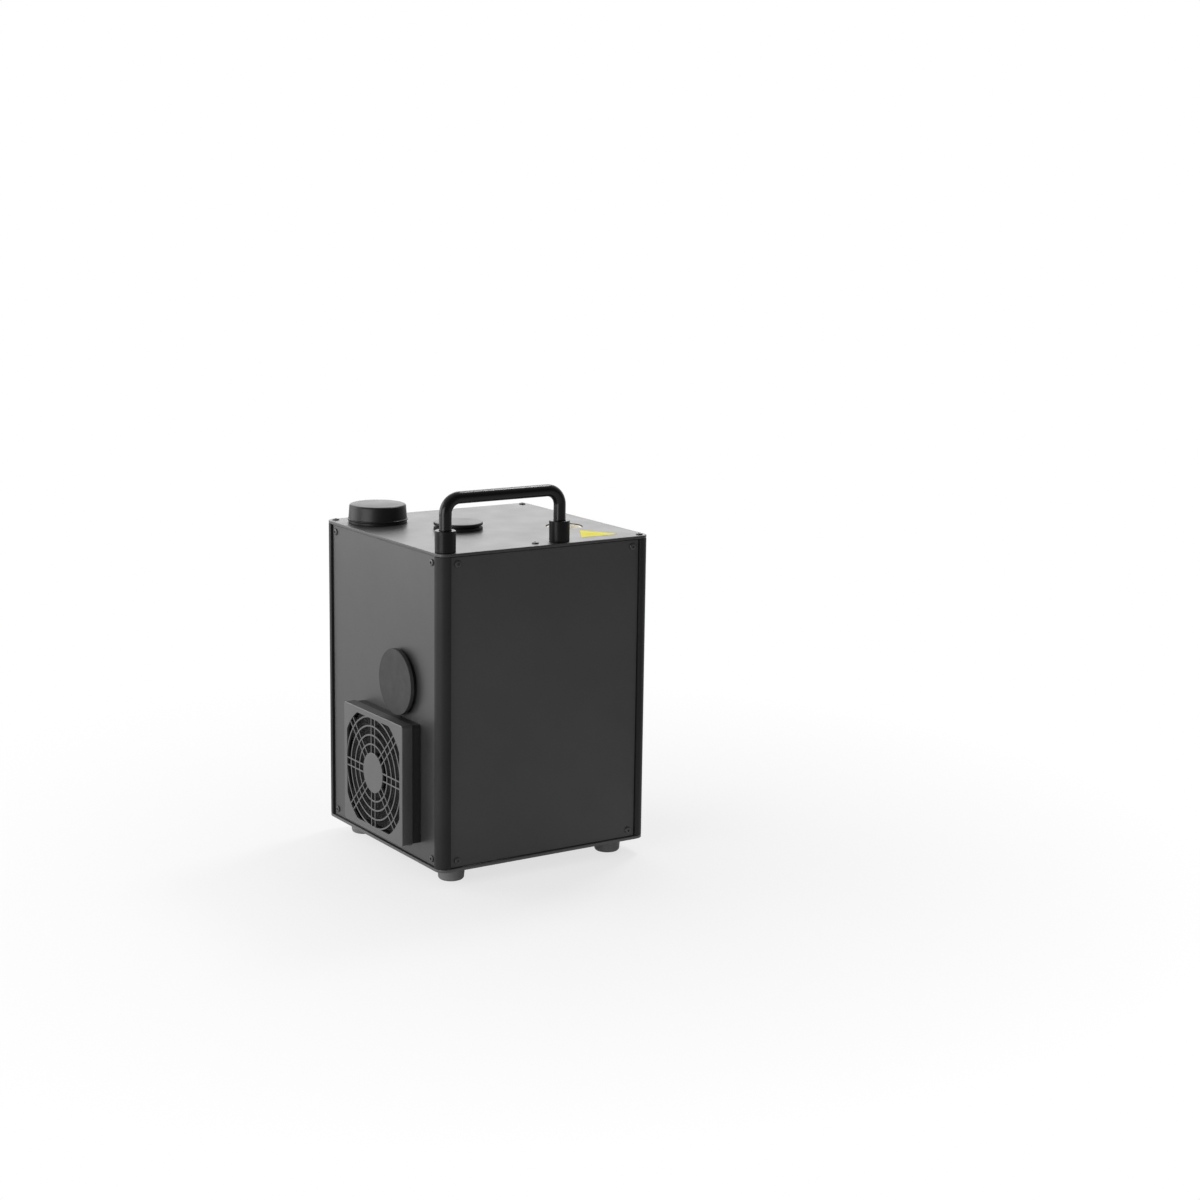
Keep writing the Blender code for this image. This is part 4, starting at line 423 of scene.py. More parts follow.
def blend_colour(tree, value, first, second):
    """Two colours mixed by a value."""
    mix = tree.nodes.new("ShaderNodeMix")
    mix.data_type = "RGBA"
    mix.inputs["A"].default_value = (*first, 1.0)
    mix.inputs["B"].default_value = (*second, 1.0)
    tree.links.new(value, mix.inputs["Factor"])
    return mix.outputs["Result"]


def raise_grain(tree, shader, value, height, under=None):
    """Bump of a height in metres, on top of another bump if there is one."""
    bump = tree.nodes.new("ShaderNodeBump")
    bump.inputs["Distance"].default_value = height
    bump.inputs["Strength"].default_value = 1.0
    tree.links.new(value, bump.inputs["Height"])
    if under:
        tree.links.new(under, bump.inputs["Normal"])
    tree.links.new(bump.outputs["Normal"], shader.inputs["Normal"])
    return bump.outputs["Normal"]


def scaled(colour, share):
    """A colour times a share."""
    return [channel * share for channel in colour]


def grained(name, colour, roughness, grain, height, vary=0.10, patch=22.0, **sockets):
    """A finish with a fine raised grain, and broad faint changes of tone and of gloss."""
    made, shader = new_finish(name, colour, roughness, **sockets)
    tree = made.node_tree
    broad = spread(tree, noise(tree, patch, detail=3.0), 0.0, 1.0)
    tone = blend_colour(tree, broad, scaled(colour, 1 - vary), scaled(colour, 1 + vary))
    tree.links.new(tone, shader.inputs["Base Color"])
    dull = min(roughness * GLOSS_RANGE[1], 1.0)
    gloss = spread(tree, noise(tree, patch * GLOSS_FINER, detail=4.0), roughness * GLOSS_RANGE[0], dull)
    tree.links.new(gloss, shader.inputs["Roughness"])
    raise_grain(tree, shader, noise(tree, grain, detail=2.0), height)
    return made


def powder_coat(name, colour, roughness, ior=1.55):
    """Fine powder coat: tight pimples over a gentle orange peel."""
    made, shader = new_finish(name, colour, roughness, IOR=ior)
    tree = made.node_tree
    broad = spread(tree, noise(tree, COAT_TONE_PATCH, detail=3.0), 0.0, 1.0)
    tone = blend_colour(tree, broad, *[scaled(colour, share) for share in COAT_TONES])
    tree.links.new(tone, shader.inputs["Base Color"])
    gloss = spread(tree, noise(tree, COAT_GLOSS_PATCH, detail=5.0),
                   *[roughness * share for share in COAT_GLOSS])
    tree.links.new(gloss, shader.inputs["Roughness"])
    peel = raise_grain(tree, shader, noise(tree, PEEL_SCALE, detail=1.0), PEEL_HEIGHT)
    raise_grain(tree, shader, noise(tree, PIMPLE_SCALE, detail=2.0), PIMPLE_HEIGHT, under=peel)
    return made


def open_foam(name, colour):
    """Open-cell foam: lighter struts round pores painted near black as the shade inside them, with deep
    bump.
    """
    made, shader = new_finish(name, colour, roughness=0.95, Specular_IOR_Level=0.1)
    tree = made.node_tree
    cells = tree.nodes.new("ShaderNodeTexVoronoi")
    cells.feature = "DISTANCE_TO_EDGE"
    cells.inputs["Scale"].default_value = 1 / PORE
    tree.links.new(point_of(tree), cells.inputs["Vector"])
    strut = spread(tree, cells.outputs["Distance"], 1.0, 0.0, *FOAM_STRUT)
    tone = blend_colour(tree, strut, *[scaled(colour, share) for share in FOAM_SHADED_PORES_AND_STRUTS])
    tree.links.new(tone, shader.inputs["Base Color"])
    raise_grain(tree, shader, strut, FOAM_BUMP)
    return made


def brushed(name, colour, roughness):
    """Bare metal with fine lines along Z."""
    made, shader = new_finish(name, colour, roughness, Metallic=1.0)
    tree = made.node_tree
    lines = noise(tree, BRUSH_SCALE, detail=2.0, stretch=BRUSH_STRETCH)
    gloss = spread(tree, lines, *[roughness * share for share in BRUSH_GLOSS])
    tree.links.new(gloss, shader.inputs["Roughness"])
    raise_grain(tree, shader, lines, BRUSH_HEIGHT)
    return made


def make_finishes():
    """One finish for each of the record's slots: colour, roughness, the grain's scale and height."""
    return {
        "housing_paint": powder_coat("housing_powder_coat", (0.030, 0.030, 0.0314), 0.40),
        "handle_paint": powder_coat("handle_powder_coat", (0.004, 0.004, 0.0042), 0.24, ior=1.36),
        "sleeve_plastic": grained("sleeve_moulding", (0.004, 0.004, 0.0042), 0.32, 1100.0, 0.000006,
                                  IOR=1.28),
        "cap_plastic": grained("cap_moulding", (0.011, 0.011, 0.0115), 0.40, 1300.0, 0.000006, IOR=1.36),
        "plug_plastic": grained("plug_moulding", (0.042, 0.042, 0.0435), 0.75, 800.0, 0.00001,
                                vary=0.12, patch=60.0, Specular_IOR_Level=0.3),
        "guard_plastic": grained("guard_moulding", (0.040, 0.040, 0.0415), 0.38, 1500.0, 0.00001, IOR=1.75),
        "filter_foam": open_foam("filter_foam", (0.006, 0.006, 0.0062)),
        "fan_plastic": grained("fan_moulding", (0.012, 0.012, 0.0125), 0.5, 1200.0, 0.000006),
        # The feet's light grey is partly the rubber's own tone and partly painted light, standing for the
        # light that the floor throws back onto them
        "foot_rubber": grained("foot_rubber", (0.150, 0.150, 0.153), 0.7, 900.0, 0.00001),
        "liner_rubber": grained("liner_rubber", (0.05, 0.05, 0.052), 0.7, 900.0, 0.00001),
        "nozzle_ceramic": grained("nozzle_ceramic", (0.97, 0.92, 0.80), 0.75, 700.0, 0.00002,
                                  vary=0.04, patch=120.0),
        "insulation_wool": grained("insulation_wool", (0.82, 0.81, 0.77), 0.95, 500.0, 0.0002,
                                   patch=200.0),
        "bare_steel": brushed("bare_steel", (0.52, 0.52, 0.53), 0.34),
        "bare_aluminium": brushed("bare_aluminium", (0.70, 0.70, 0.72), 0.40),
        "connector_plastic": grained("connector_moulding", (0.018, 0.018, 0.0185), 0.38, 1400.0, 0.000006),
        "connector_metal": grained("black_plating", (0.05, 0.05, 0.05), 0.32, 1500.0, 0.000004,
                                   Metallic=0.85),
        "display_plastic": grained("display_lens", (0.012, 0.016, 0.020), 0.09, 900.0, 0.0000006),
        "button_plastic": grained("button_moulding", (0.07, 0.07, 0.072), 0.5, 1100.0, 0.000008),
        "board_laminate": grained("board_laminate", (0.02, 0.12, 0.05), 0.45, 600.0, 0.00001),
    }


FINISH = make_finishes()
PATCH_YELLOW = grained("patch_yellow", (0.90, 0.80, 0.03), 0.5, 900.0, 0.000004,
                       vary=0.05, patch=60.0, Specular_IOR_Level=0.05)
SCREW_STEEL = grained("blackened_screw", (0.075, 0.075, 0.077), 0.34, 1500.0, 0.000004, Metallic=0.7)
# A darker copy of the housing's powder coat for the corner posts: the darker tone is painted shade, while
# the lower gloss and weaker reflection are the coat's own
SHADED_POST_COAT = powder_coat("post_coat_painted_shade", (0.020, 0.020, 0.021), 0.50, ior=1.25)
# A lighter copy of the housing's powder coat for the base plate: the lighter tone is painted light, so that
# the plate's edge strip shows as lit
LIT_BASE_COAT = powder_coat("base_coat_painted_light", (0.070, 0.070, 0.072), 0.42)


# Surfaces: each is a skin, its points with its four-sided and three-sided faces

def join(*skins):
    """Several skins as one: their points one after another, their faces counted on."""
    points = []
    quads = []
    tris = []
    start = 0
    for skin_points, skin_quads, skin_tris in skins:
        points.append(skin_points)
        quads.append(skin_quads + start)
        tris.append(skin_tris + start)
        start += len(skin_points)
    return np.vstack(points), np.vstack(quads), np.vstack(tris)


def wrap(rows, closed=False):
    """Skin over a grid of points, rows by columns. The columns go round; the end rows are closed by
    a fan from their middle, or joined to each other where closed."""
    count, around = rows.shape[:2]
    points = rows.reshape(-1, 3)
    i = np.arange(count if closed else count - 1)[:, None] * around
    j = np.arange(around)[None, :]
    k = (j + 1) % around
    up = (i + around) % (count * around)
    quads = np.stack((i + j, i + k, up + k, up + j), -1).reshape(-1, 4)
    if closed:
        return points, quads, np.zeros((0, 3), int)
    points = np.vstack([points, rows[0].mean(0), rows[-1].mean(0)])
    pole = np.full(around, count * around)
    last = (count - 1) * around
    tris = np.vstack([np.stack((pole, k[0], j[0]), 1), np.stack((pole + 1, last + j[0], last + k[0]), 1)])
    return points, quads, tris


def placed(skin, place):
    """A skin carried by a matrix."""
    points, quads, tris = skin
    turn = np.array(place)
    return points @ turn[:3, :3].T + turn[:3, 3], quads, tris


def filleted(run, closed=True, steps=6):
    """A run of corners (u, v, radius), each rounded by the arc that touches both of its sides."""
    given = np.array([corner[:2] for corner in run], float)
    parts = []
    for index, (_, _, radius) in enumerate(run):
        corner = given[index]
        is_end = not closed and index in (0, len(run) - 1)
        if radius == 0 or is_end:
            parts.append(corner[None])
            continue
        before = given[index - 1] - corner
        after = given[(index + 1) % len(run)] - corner
        before /= np.linalg.norm(before)
        after /= np.linalg.norm(after)
        half = math.acos(np.clip(before @ after, -1, 1)) / 2
        inward = before + after
        centre = corner + inward / np.linalg.norm(inward) * radius / math.sin(half)
        reach = radius / math.tan(half)
        first = corner + before * reach - centre
        second = corner + after * reach - centre
        start = math.atan2(first[1], first[0])
        sweep = (math.atan2(second[1], second[0]) - start + math.pi) % (2 * math.pi) - math.pi
        turn = start + sweep * np.linspace(0, 1, steps + 1)
        parts.append(centre + radius * np.stack((np.cos(turn), np.sin(turn)), 1))
    return np.vstack(parts)


def held(run, closed):
    """The same run with two points close to the ends of each straight stretch, so that it shades flat."""
    ahead = np.roll(run, -1, 0)
    way = ahead - run
    length = np.linalg.norm(way, axis=1, keepdims=True)
    step = way / np.maximum(length, TINY) * np.minimum(HOLD, length / 3)
    full = np.stack((run, run + step, ahead - step), 1).reshape(-1, 2)
    return full if closed else full[:-2]


def turns(steps):
    """Even turns once round."""
    return np.linspace(0, 2 * math.pi, steps, endpoint=False)


def polar(reach, turn, height):
    """Points round Z: reach by the cosine and the sine of the turn, at a height."""
    return np.stack((reach * np.cos(turn), reach * np.sin(turn), height + 0 * turn), -1)


def circle(x, y, radius, steps=MEDIUM_ROUND):
    """Points once round a circle."""
    turn = turns(steps)
    return np.stack((x + radius * np.cos(turn), y + radius * np.sin(turn)), 1)


def rounded(width, height, radius, x=0.0, y=0.0):
    """A rectangle with round corners."""
    u = width / 2
    v = height / 2
    run = [(x + u, y + v, radius), (x - u, y + v, radius), (x - u, y - v, radius), (x + u, y - v, radius)]
    return filleted(run)


def turned(profile, steps=ROUND):
    """A profile of (radius, height) carried round Z, closed on itself if no end is on the axis."""
    radius, height = np.array(profile).T[:, :, None]
    closed = min(profile[0][0], profile[-1][0]) > ON_AXIS
    return wrap(polar(radius, turns(steps)[None, :], height), closed)


def turned_round(run, steps=ROUND):
    """A run of (radius, height, fillet) turned round Z, closed on itself if no end is on the axis."""
    closed = min(run[0][0], run[-1][0]) > ON_AXIS
    return turned(held(filleted(run, closed), closed), steps)


def runs_left(points):
    """The same outline, taken so that its inside lies to the left."""
    ahead = np.roll(points, -1, 0)
    area = np.sum(points[:, 0] * ahead[:, 1] - ahead[:, 0] * points[:, 1])
    return points if area > 0 else points[::-1]


def sheet(outline, holes, low, high, edge=SHEET_EDGE):
    """A flat sheet from low to high: the inside of an outline less its holes, all its edges rounded
    by an arc of radius edge that starts inside the outline and ends on it."""
    curve = bpy.data.curves.new("flat", "CURVE")
    curve.dimensions = "2D"
    curve.fill_mode = "BOTH"
    curve.extrude = (high - low) / 2 - edge
    curve.bevel_depth = edge
    curve.bevel_resolution = 1
    curve.offset = -edge
    loops = [runs_left(outline)] + [runs_left(hole)[::-1] for hole in holes]
    for loop in loops:
        spline = curve.splines.new("POLY")
        spline.points.add(len(loop) - 1)
        spline.use_cyclic_u = True
        flat = np.zeros((len(loop), 4), np.float32)
        flat[:, :2] = loop
        flat[:, 3] = 1
        spline.points.foreach_set("co", flat.ravel())
    holder = add_object("flat", curve)
    ready = holder.evaluated_get(bpy.context.evaluated_depsgraph_get())
    mesh = bpy.data.meshes.new_from_object(ready)
    mesh.calc_loop_triangles()
    points = np.zeros(len(mesh.vertices) * 3)
    mesh.vertices.foreach_get("co", points)
    tris = np.zeros(len(mesh.loop_triangles) * 3, int)
    mesh.loop_triangles.foreach_get("vertices", tris)
    bpy.data.objects.remove(holder)
    bpy.data.curves.remove(curve)
    bpy.data.meshes.remove(mesh)
    points = points.reshape(-1, 3) + (0, 0, (low + high) / 2)
    return points, np.zeros((0, 4), int), tris.reshape(-1, 3)


def along_path(section, path, ways):
    """A section of (across, up) carried along a path in the XZ plane, square to its ways; across is Y."""
    x, z = path.T[:, :, None]
    way_x, way_z = ways.T[:, :, None]
    across, up = section.T[:, None, :]
    return wrap(np.stack((x - way_z * up, across + 0 * x, z + way_x * up), -1))


# Pieces

def add_piece(name, mesh, finish, slot, body, stands_for):
    """Links a piece, gives it its finish and its body, and hides the nodes that it stands for."""
    made = add_object(name, mesh)
    mesh.materials.clear()
    mesh.materials.append(finish or FINISH[slot])
    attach(made, body)
    if stands_for:
        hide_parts(*stands_for)
    return made


def piece(name, skins, slot, body="root", stands_for=(), finish=None, flat=True):
    """A finished piece from skins: welded, facing out, smooth but for its sharp edges. A flat piece's
    large faces keep their own straight shading."""
    points, quads, tris = join(*skins)
    mesh = bpy.data.meshes.new(name)
    mesh.from_pydata(points.tolist(), [], quads.tolist() + tris.tolist())
    shape = bmesh.new()
    shape.from_mesh(mesh)
    bmesh.ops.remove_doubles(shape, verts=shape.verts, dist=WELD)
    bmesh.ops.recalc_face_normals(shape, faces=shape.faces)
    shape.to_mesh(mesh)
    shape.free()
    mesh.shade_smooth()
    mesh.set_sharp_from_angle(angle=math.radians(SHARP))
    made = add_piece(name, mesh, finish, slot, body, stands_for)
    if flat:
        even = made.modifiers.new("flat_faces", "WEIGHTED_NORMAL")
        even.keep_sharp = True
        even.weight = FLAT_WEIGHT


def turned_piece(name, run, place, slot, node, body="root", steps=ROUND):
    """A run turned round its place's Z, as a finished piece that stands for one node."""
    piece(name, [placed(turned_round(run, steps), place)], slot, body, (node,), flat=False)


def softened(node, slot, body, width):
    """A copy of a node's solid with its flat faces merged and its edges rounded by a width."""
    mesh = frame["nodes"][node].data.copy()
    shape = bmesh.new()
    shape.from_mesh(mesh)
    bmesh.ops.remove_doubles(shape, verts=shape.verts, dist=WELD)
    bmesh.ops.dissolve_limit(shape, angle_limit=math.radians(ONE_FACE), verts=shape.verts,
                             edges=shape.edges)
    shape.to_mesh(mesh)
    shape.free()
    made = add_piece(f"{node}_finished", mesh, None, slot, body, (node,))
    rounding = made.modifiers.new("round_edges", "BEVEL")
    rounding.width = width
    rounding.segments = 2
    rounding.limit_method = "ANGLE"
    rounding.angle_limit = math.radians(ROUNDED_FROM)
    rounding.harden_normals = True
    mesh.shade_smooth()


def screw_skin(radius=HEAD_RADIUS, height=HEAD_HEIGHT):
    """A low round head on z = 0 with a hexagon socket: the socket's rows run on a hexagon, whose
    radius at a turn is its half width over the cosine of the turn from the nearest flat."""
    turn = turns(SMALL_ROUND)
    hexagon = SOCKET / np.cos((turn % (math.pi / 3)) - math.pi / 6)
    side = height * HEAD_SIDE
    rows = [(radius, -GAP), (radius, side)]
    for a in np.radians((25, 50, 75, 90)):
        rows.append((radius - HEAD_EDGE * (1 - math.cos(a)), side + (height * HEAD_SHOULDER) * math.sin(a)))
    rows.append((radius * CROWN_RADIUS, height * CROWN_HEIGHT))
    rows += [(SOCKET_MOUTH * hexagon, height), (hexagon, height - SOCKET_EDGE),
             (SOCKET_FLOOR * hexagon, height - SOCKET_DEPTH)]
    return wrap(np.stack([polar(reach, turn, z) for reach, z in rows]))


def add_screws(name, places, radius=HEAD_RADIUS, height=HEAD_HEIGHT):
    """One piece for each screw, numbered, each turned further than the last."""
    skin = screw_skin(radius, height)
    for count, place in enumerate(places):
        turn = Matrix.Rotation(math.radians(SCREW_TURN * count), 4, "Z")
        piece(f"{name}_{count + 1}", [placed(skin, place @ turn)], None, finish=SCREW_STEEL, flat=False)


def post_section():
    """The post's section from the housing's outer corner: a quarter round, two lips, two flanges."""
    seat = RECESS + SHEET + GAP
    back = seat + FLANGE_THICKNESS
    half = [(0, LIP, SHEET_EDGE), (seat, LIP, 0), (seat, FLANGE, SHEET_EDGE), (back, FLANGE, SHEET_EDGE),
            (back, CORE, 0)]
    mirrored = [(v, u, radius) for u, v, radius in reversed(half)]
    return filleted([(0, 0, CORNER_RADIUS)] + half + [(CORE, CORE, 0)] + mirrored, steps=16)


def build_posts():
    """Four corner posts."""
    section = post_section()
    for name, x, y in (("front_left", LEFT_FACE, FRONT_FACE), ("front_right", RIGHT_FACE, FRONT_FACE),
                       ("rear_right", RIGHT_FACE, REAR_FACE), ("rear_left", LEFT_FACE, REAR_FACE)):
        inward = (math.copysign(1, MIDDLE_X - x), math.copysign(1, MIDDLE_Y - y))
        skin = sheet(section * inward + (x, y), [], post_low[2], post_high[2])
        # The posts take the darker coat, which paints shade on them
        piece(f"corner_post_{name}", [skin], "housing_paint", stands_for=(f"post_{name}",),
              finish=SHADED_POST_COAT)


def build_plates():
    """Top and base plate with their holes and screws."""
    outline = rounded(2 * HALF, 2 * HALF, CORNER_RADIUS, MIDDLE_X, MIDDLE_Y)
    holes = [circle(*middle_of("filler_neck")[:2], NECK_RADIUS + 2 * GAP),
             circle(*middle_of("top_port_ring")[:2], half_of("top_port_ring") - 2 * SHEET),
             circle(*middle_of("nozzle_liner")[:2], half_of("nozzle_liner") + 1.5 * GAP, ROUND)]
    top = sheet(outline, holes, TOP_FACE - PLATE, TOP_FACE, PLATE_EDGE)
    piece("top_sheet", [top], "housing_paint", stands_for=("top_plate",))
    base = sheet(outline, [], BASE_UNDER, BASE_UNDER + PLATE, PLATE_EDGE)
    # The base plate takes the lighter coat, which paints light on its edge strip
    piece("base_sheet", [base], "housing_paint", stands_for=("base_plate",), finish=LIT_BASE_COAT)

    inset = HALF - PLATE_SCREW_IN
    around = [(MIDDLE_X + sx * inset, MIDDLE_Y + sy * inset)
              for sx, sy in ((-1, -1), (1, -1), (1, 1), (-1, 1))]
    front = (middle_of("handle_sleeve_left")[0] + FRONT_SCREW_ALONG, FRONT_FACE + FRONT_SCREW_IN)
    add_screws("top_screw", [at(x, y, TOP_FACE) for x, y in around[1:] + [front]])
    add_screws("base_screw", [at(x, y, BASE_UNDER) @ UPSIDE_DOWN for x, y in around])


def panel_outline(seam):
    """A panel's outline on its side, with a seam to the posts' lips, about the side's middle."""
    low = BASE_UNDER + PLATE + END_SEAM
    high = TOP_FACE - PLATE - END_SEAM
    edge = HALF - LIP - seam
    return rounded(2 * edge, high - low, 2 * SHEET_EDGE, 0, (low + high) / 2)


def build_panels():
    """The four panels with their screws; left and rear with their openings."""
    holes = {"front": [], "right": [], "left": left_holes(), "rear": rear_holes()}
    for side, cuts in holes.items():
        middle = MIDDLE_X if side in ("front", "rear") else MIDDLE_Y
        place = on_side(side, middle, 0)
        skin = placed(sheet(panel_outline(SEAMS[side]), cuts, PANEL_BACK, PANEL_FACE), place)
        piece(f"{side}_sheet", [skin], "housing_paint", stands_for=(f"{side}_panel",))
        across = HALF - PANEL_SCREW_IN
        rows = (BASE_UNDER + PANEL_SCREW_END, TOP_FACE - PANEL_SCREW_END)
        add_screws(f"{side}_screw", [place @ at(way * across, z, PANEL_FACE)
                                     for way in (-1, 1) for z in rows])


def left_holes():
    """The fan's hole and the side port's, on the left side about its middle."""
    fan = middle_of("fan_frame")
    port = middle_of("side_port_ring")
    return [circle(MIDDLE_Y - fan[1], fan[2], FAN_OPENING, ROUND),
            circle(MIDDLE_Y - port[1], port[2], half_of("side_port_ring", 1) - 2 * SHEET)]


def rear_holes():
    """Openings of the rear controls, on the rear side about its middle."""
    window = middle_of("display_window")
    low, high = corners("display_window")
    width = high[0] - low[0] - 2 * WINDOW_MARGIN
    height = high[2] - low[2] - 2 * WINDOW_MARGIN
    holes = [rounded(width, height, WINDOW_HOLE_CORNER, MIDDLE_X - window[0], window[2])]
    for count in range(1, BUTTONS + 1):
        button = middle_of(f"button_{count}")
        radius = half_of(f"button_{count}") - COLLAR + BUTTON_PLAY
        holes.append(circle(MIDDLE_X - button[0], button[2], radius, SMALL_ROUND))
    module = middle_of("power_module")
    holes.append(rounded(MODULE_CUT_WIDTH, MODULE_CUT_HEIGHT, MODULE_CUT_CORNER, MIDDLE_X - module[0],
                         module[2]))
    for node in ("signal_input", "signal_output"):
        socket = middle_of(node)
        holes.append(circle(MIDDLE_X - socket[0], socket[2], SIGNAL_HOLE))
    for i in range(VENTS):
        x = (i - (VENTS - 1) / 2) * VENT_PITCH - VENT_X
        holes.append(rounded(VENT_WIDTH, VENT_LENGTH, VENT_WIDTH / 2 - VENT_END_FLAT, x, VENT_Z))
    return holes


def build_handle():
    """Bent round bar on two sleeves."""
    left = middle_of("handle_sleeve_left")
    right = middle_of("handle_sleeve_right")
    _, bar_high = corners("handle")
    _, sleeve_high = corners("handle_sleeve_left")
    high = bar_high[2] - BAR_RADIUS
    run = [(left[0], TOP_FACE + GAP, 0), (left[0], high, BAR_BEND), (right[0], high, BAR_BEND),
           (right[0], TOP_FACE + GAP, 0)]
    path = filleted(run, closed=False, steps=BEND_STEPS)
    legs = np.diff(path, axis=0)
    legs /= np.linalg.norm(legs, axis=1, keepdims=True)
    ways = np.vstack([legs[:1], legs[:-1] + legs[1:], legs[-1:]])
    ways /= np.linalg.norm(ways, axis=1, keepdims=True)
    bar = along_path(circle(0, 0, BAR_RADIUS, SMALL_ROUND), path, ways)
    piece("handle_bar", [placed(bar, at(0, left[1], 0))], "handle_paint", stands_for=("handle",),
          flat=False)

    radius = half_of("handle_sleeve_left")
    tall = sleeve_high[2] - TOP_FACE
    inside = BAR_RADIUS + GAP
    run = [(inside, GAP, 0), (radius - SLEEVE_FOOT, GAP, SHEET_EDGE), (radius, tall, SLEEVE_EDGE),
           (inside, tall, SLEEVE_EDGE / 2)]
    for name in ("left", "right"):
        node = f"handle_sleeve_{name}"
        turned_piece(f"sleeve_{name}", run, upright(node, TOP_FACE), "sleeve_plastic", node,
                     steps=MEDIUM_ROUND)


def build_filler():
    """Filler neck with its thread, and the screw cap with its bead and dome."""
    neck_low, _ = corners("filler_neck")
    place = upright("filler_neck", TOP_FACE)
    below = neck_low[2] - TOP_FACE
    collar = NECK_FLANGE_TOP + NECK_COLLAR
    flange = turned_round([(NECK_BORE, below, 0), (NECK_RADIUS, below, 0), (NECK_RADIUS, GAP, 0),
                           (NECK_FLANGE, GAP, 0), (NECK_FLANGE, NECK_FLANGE_TOP, NECK_FLANGE_EDGE),
                           (NECK_RADIUS, NECK_FLANGE_TOP, 0), (NECK_RADIUS, collar, 0),
                           (NECK_BORE, collar, 0)])
    piece("neck_flange", [placed(flange, place), placed(threaded_neck(), place)], "cap_plastic",
          stands_for=("filler_neck",), flat=False)

    _, cap_high = corners("filler_cap")
    radius = half_of("filler_cap")
    crest = cap_high[2] - TOP_FACE
    rim = crest - CAP_DOME
    bead_top = CAP_BOTTOM + CAP_BEAD
    start = CAP_SHOULDER - 2 * CAP_EDGE
    outer = filleted([(radius - BEAD_EDGE, CAP_BOTTOM, BEAD_EDGE), (radius, bead_top, BEAD_CREST),
                      (radius - CAP_BEAD_DEPTH, bead_top + BEAD_SLOPE, BEAD_EDGE),
                      (CAP_SHOULDER, rim, CAP_EDGE), (start, rim + DOME_START, 0)], closed=False, steps=8)
    shares = np.linspace(1, 0, DOME_ROWS)[1:]
    dome = np.stack((start * shares, crest - (CAP_DOME - DOME_START) * shares ** 2), 1)
    inner = [(0, CAP_CEILING), (CAP_INSIDE, CAP_CEILING), (CAP_INSIDE, CAP_BOTTOM)]
    skin = turned(np.vstack([outer, dome, inner]))
    piece("screw_cap", [placed(skin, place)], "cap_plastic", "filler_cap", ("filler_cap",), flat=False)


def threaded_neck():
    """The neck's tube: its radius swells by a rounded ridge wherever height over lead, less the turn,
    is near a whole number, and the ridge fades out at both ends."""
    heights = np.concatenate([np.arange(NECK_FLANGE_TOP, NECK_TOP, THREAD_ROW), [NECK_TOP]])[:, None]
    turn = turns(ROUND)[None, :]
    phase = (heights / THREAD_LEAD - turn / (2 * math.pi)) % 1.0
    near = np.clip(1 - np.abs(phase - 0.5) / THREAD_HALF_WIDTH, 0, 1)
    fade = np.clip((heights - NECK_FLANGE_TOP - THREAD_START) / THREAD_FADE, 0, 1)
    fade = fade * np.clip((NECK_TOP - THREAD_END - heights) / THREAD_FADE, 0, 1)
    radius = NECK_RADIUS - THREAD_ROOT + THREAD_HEIGHT * np.sin(near * math.pi / 2) * fade
    outer = polar(radius, turn, heights)
    inner = polar(NECK_BORE + 0 * heights, turn, heights)
    return wrap(np.concatenate([outer, inner[::-1]]), closed=True)


def ring_run(bore, spigot, radius, inward, seat, out, edge):
    """A plug's ring as radii and heights: a spigot through the sheet, and a flange on it."""
    return [(bore, inward, 0), (spigot, inward, 0), (spigot, seat, 0), (radius, seat, 0),
            (radius, out, edge), (bore, out, RING_BORE_EDGE)]


def stem_run(neck, spigot, tip, under, seat, end):
    """A plug behind its disc as radii and heights: a neck, and a spigot that narrows to its tip."""
    return [(neck, under, NECK_EDGE), (neck, seat, 0), (spigot, seat, 0), (tip, end, TIP_EDGE), (0, end, 0)]


def build_top_plug():
    """The mushroom-shaped plug on the top plate, in its ring."""
    place = upright("top_port_ring", TOP_FACE)
    low, high = corners("top_port_ring")
    out = high[2] - TOP_FACE
    run = ring_run(TOP_RING_BORE, TOP_RING_SPIGOT, half_of("top_port_ring"), low[2] - TOP_FACE, GAP, out,
                   TOP_RING_EDGE)
    turned_piece("top_ring", run, place, "cap_plastic", "top_port_ring")

    low, high = corners("top_plug")
    top = high[2] - TOP_FACE
    radius = half_of("top_plug")
    under = top - TOP_PLUG_DISC
    run = [(0, top, 0), (radius * TOP_PLUG_CROWN, top - TOP_PLUG_CROWN_FALL, TOP_PLUG_CROWN_ROUND),
           (radius - TOP_PLUG_RIM_IN, top - TOP_PLUG_RIM_FALL, TOP_PLUG_EDGE),
           (radius, under, TOP_PLUG_UNDER_EDGE)]
    run += stem_run(TOP_PLUG_NECK, TOP_PLUG_SPIGOT, TOP_PLUG_TIP, under, out + GAP, low[2] - TOP_FACE)
    turned_piece("top_cap", run, place, "cap_plastic", "top_plug", "top_plug")


def build_side_plug():
    """The flat round plug on the left side, in its ring."""
    port = middle_of("side_port_ring")
    place = on_side("left", port[1], port[2])
    low, high = corners("side_port_ring")
    out = LEFT_FACE - low[0]
    run = ring_run(SIDE_RING_BORE, SIDE_RING_SPIGOT, half_of("side_port_ring", 1), LEFT_FACE - high[0],
                   PANEL_FACE + GAP, out, SIDE_RING_EDGE)
    turned_piece("side_ring", run, place, "cap_plastic", "side_port_ring")

    low, high = corners("side_plug")
    face = LEFT_FACE - low[0]
    radius = half_of("side_plug", 1)
    under = face - SIDE_PLUG_DISC
    run = [(0, face, 0), (radius, face, SIDE_PLUG_EDGE), (radius, under, SIDE_PLUG_UNDER_EDGE)]
    run += stem_run(SIDE_PLUG_NECK, SIDE_PLUG_SPIGOT, SIDE_PLUG_TIP, under, out + GAP, LEFT_FACE - high[0])
    turned_piece("side_cap", run, place, "plug_plastic", "side_plug", "side_plug")


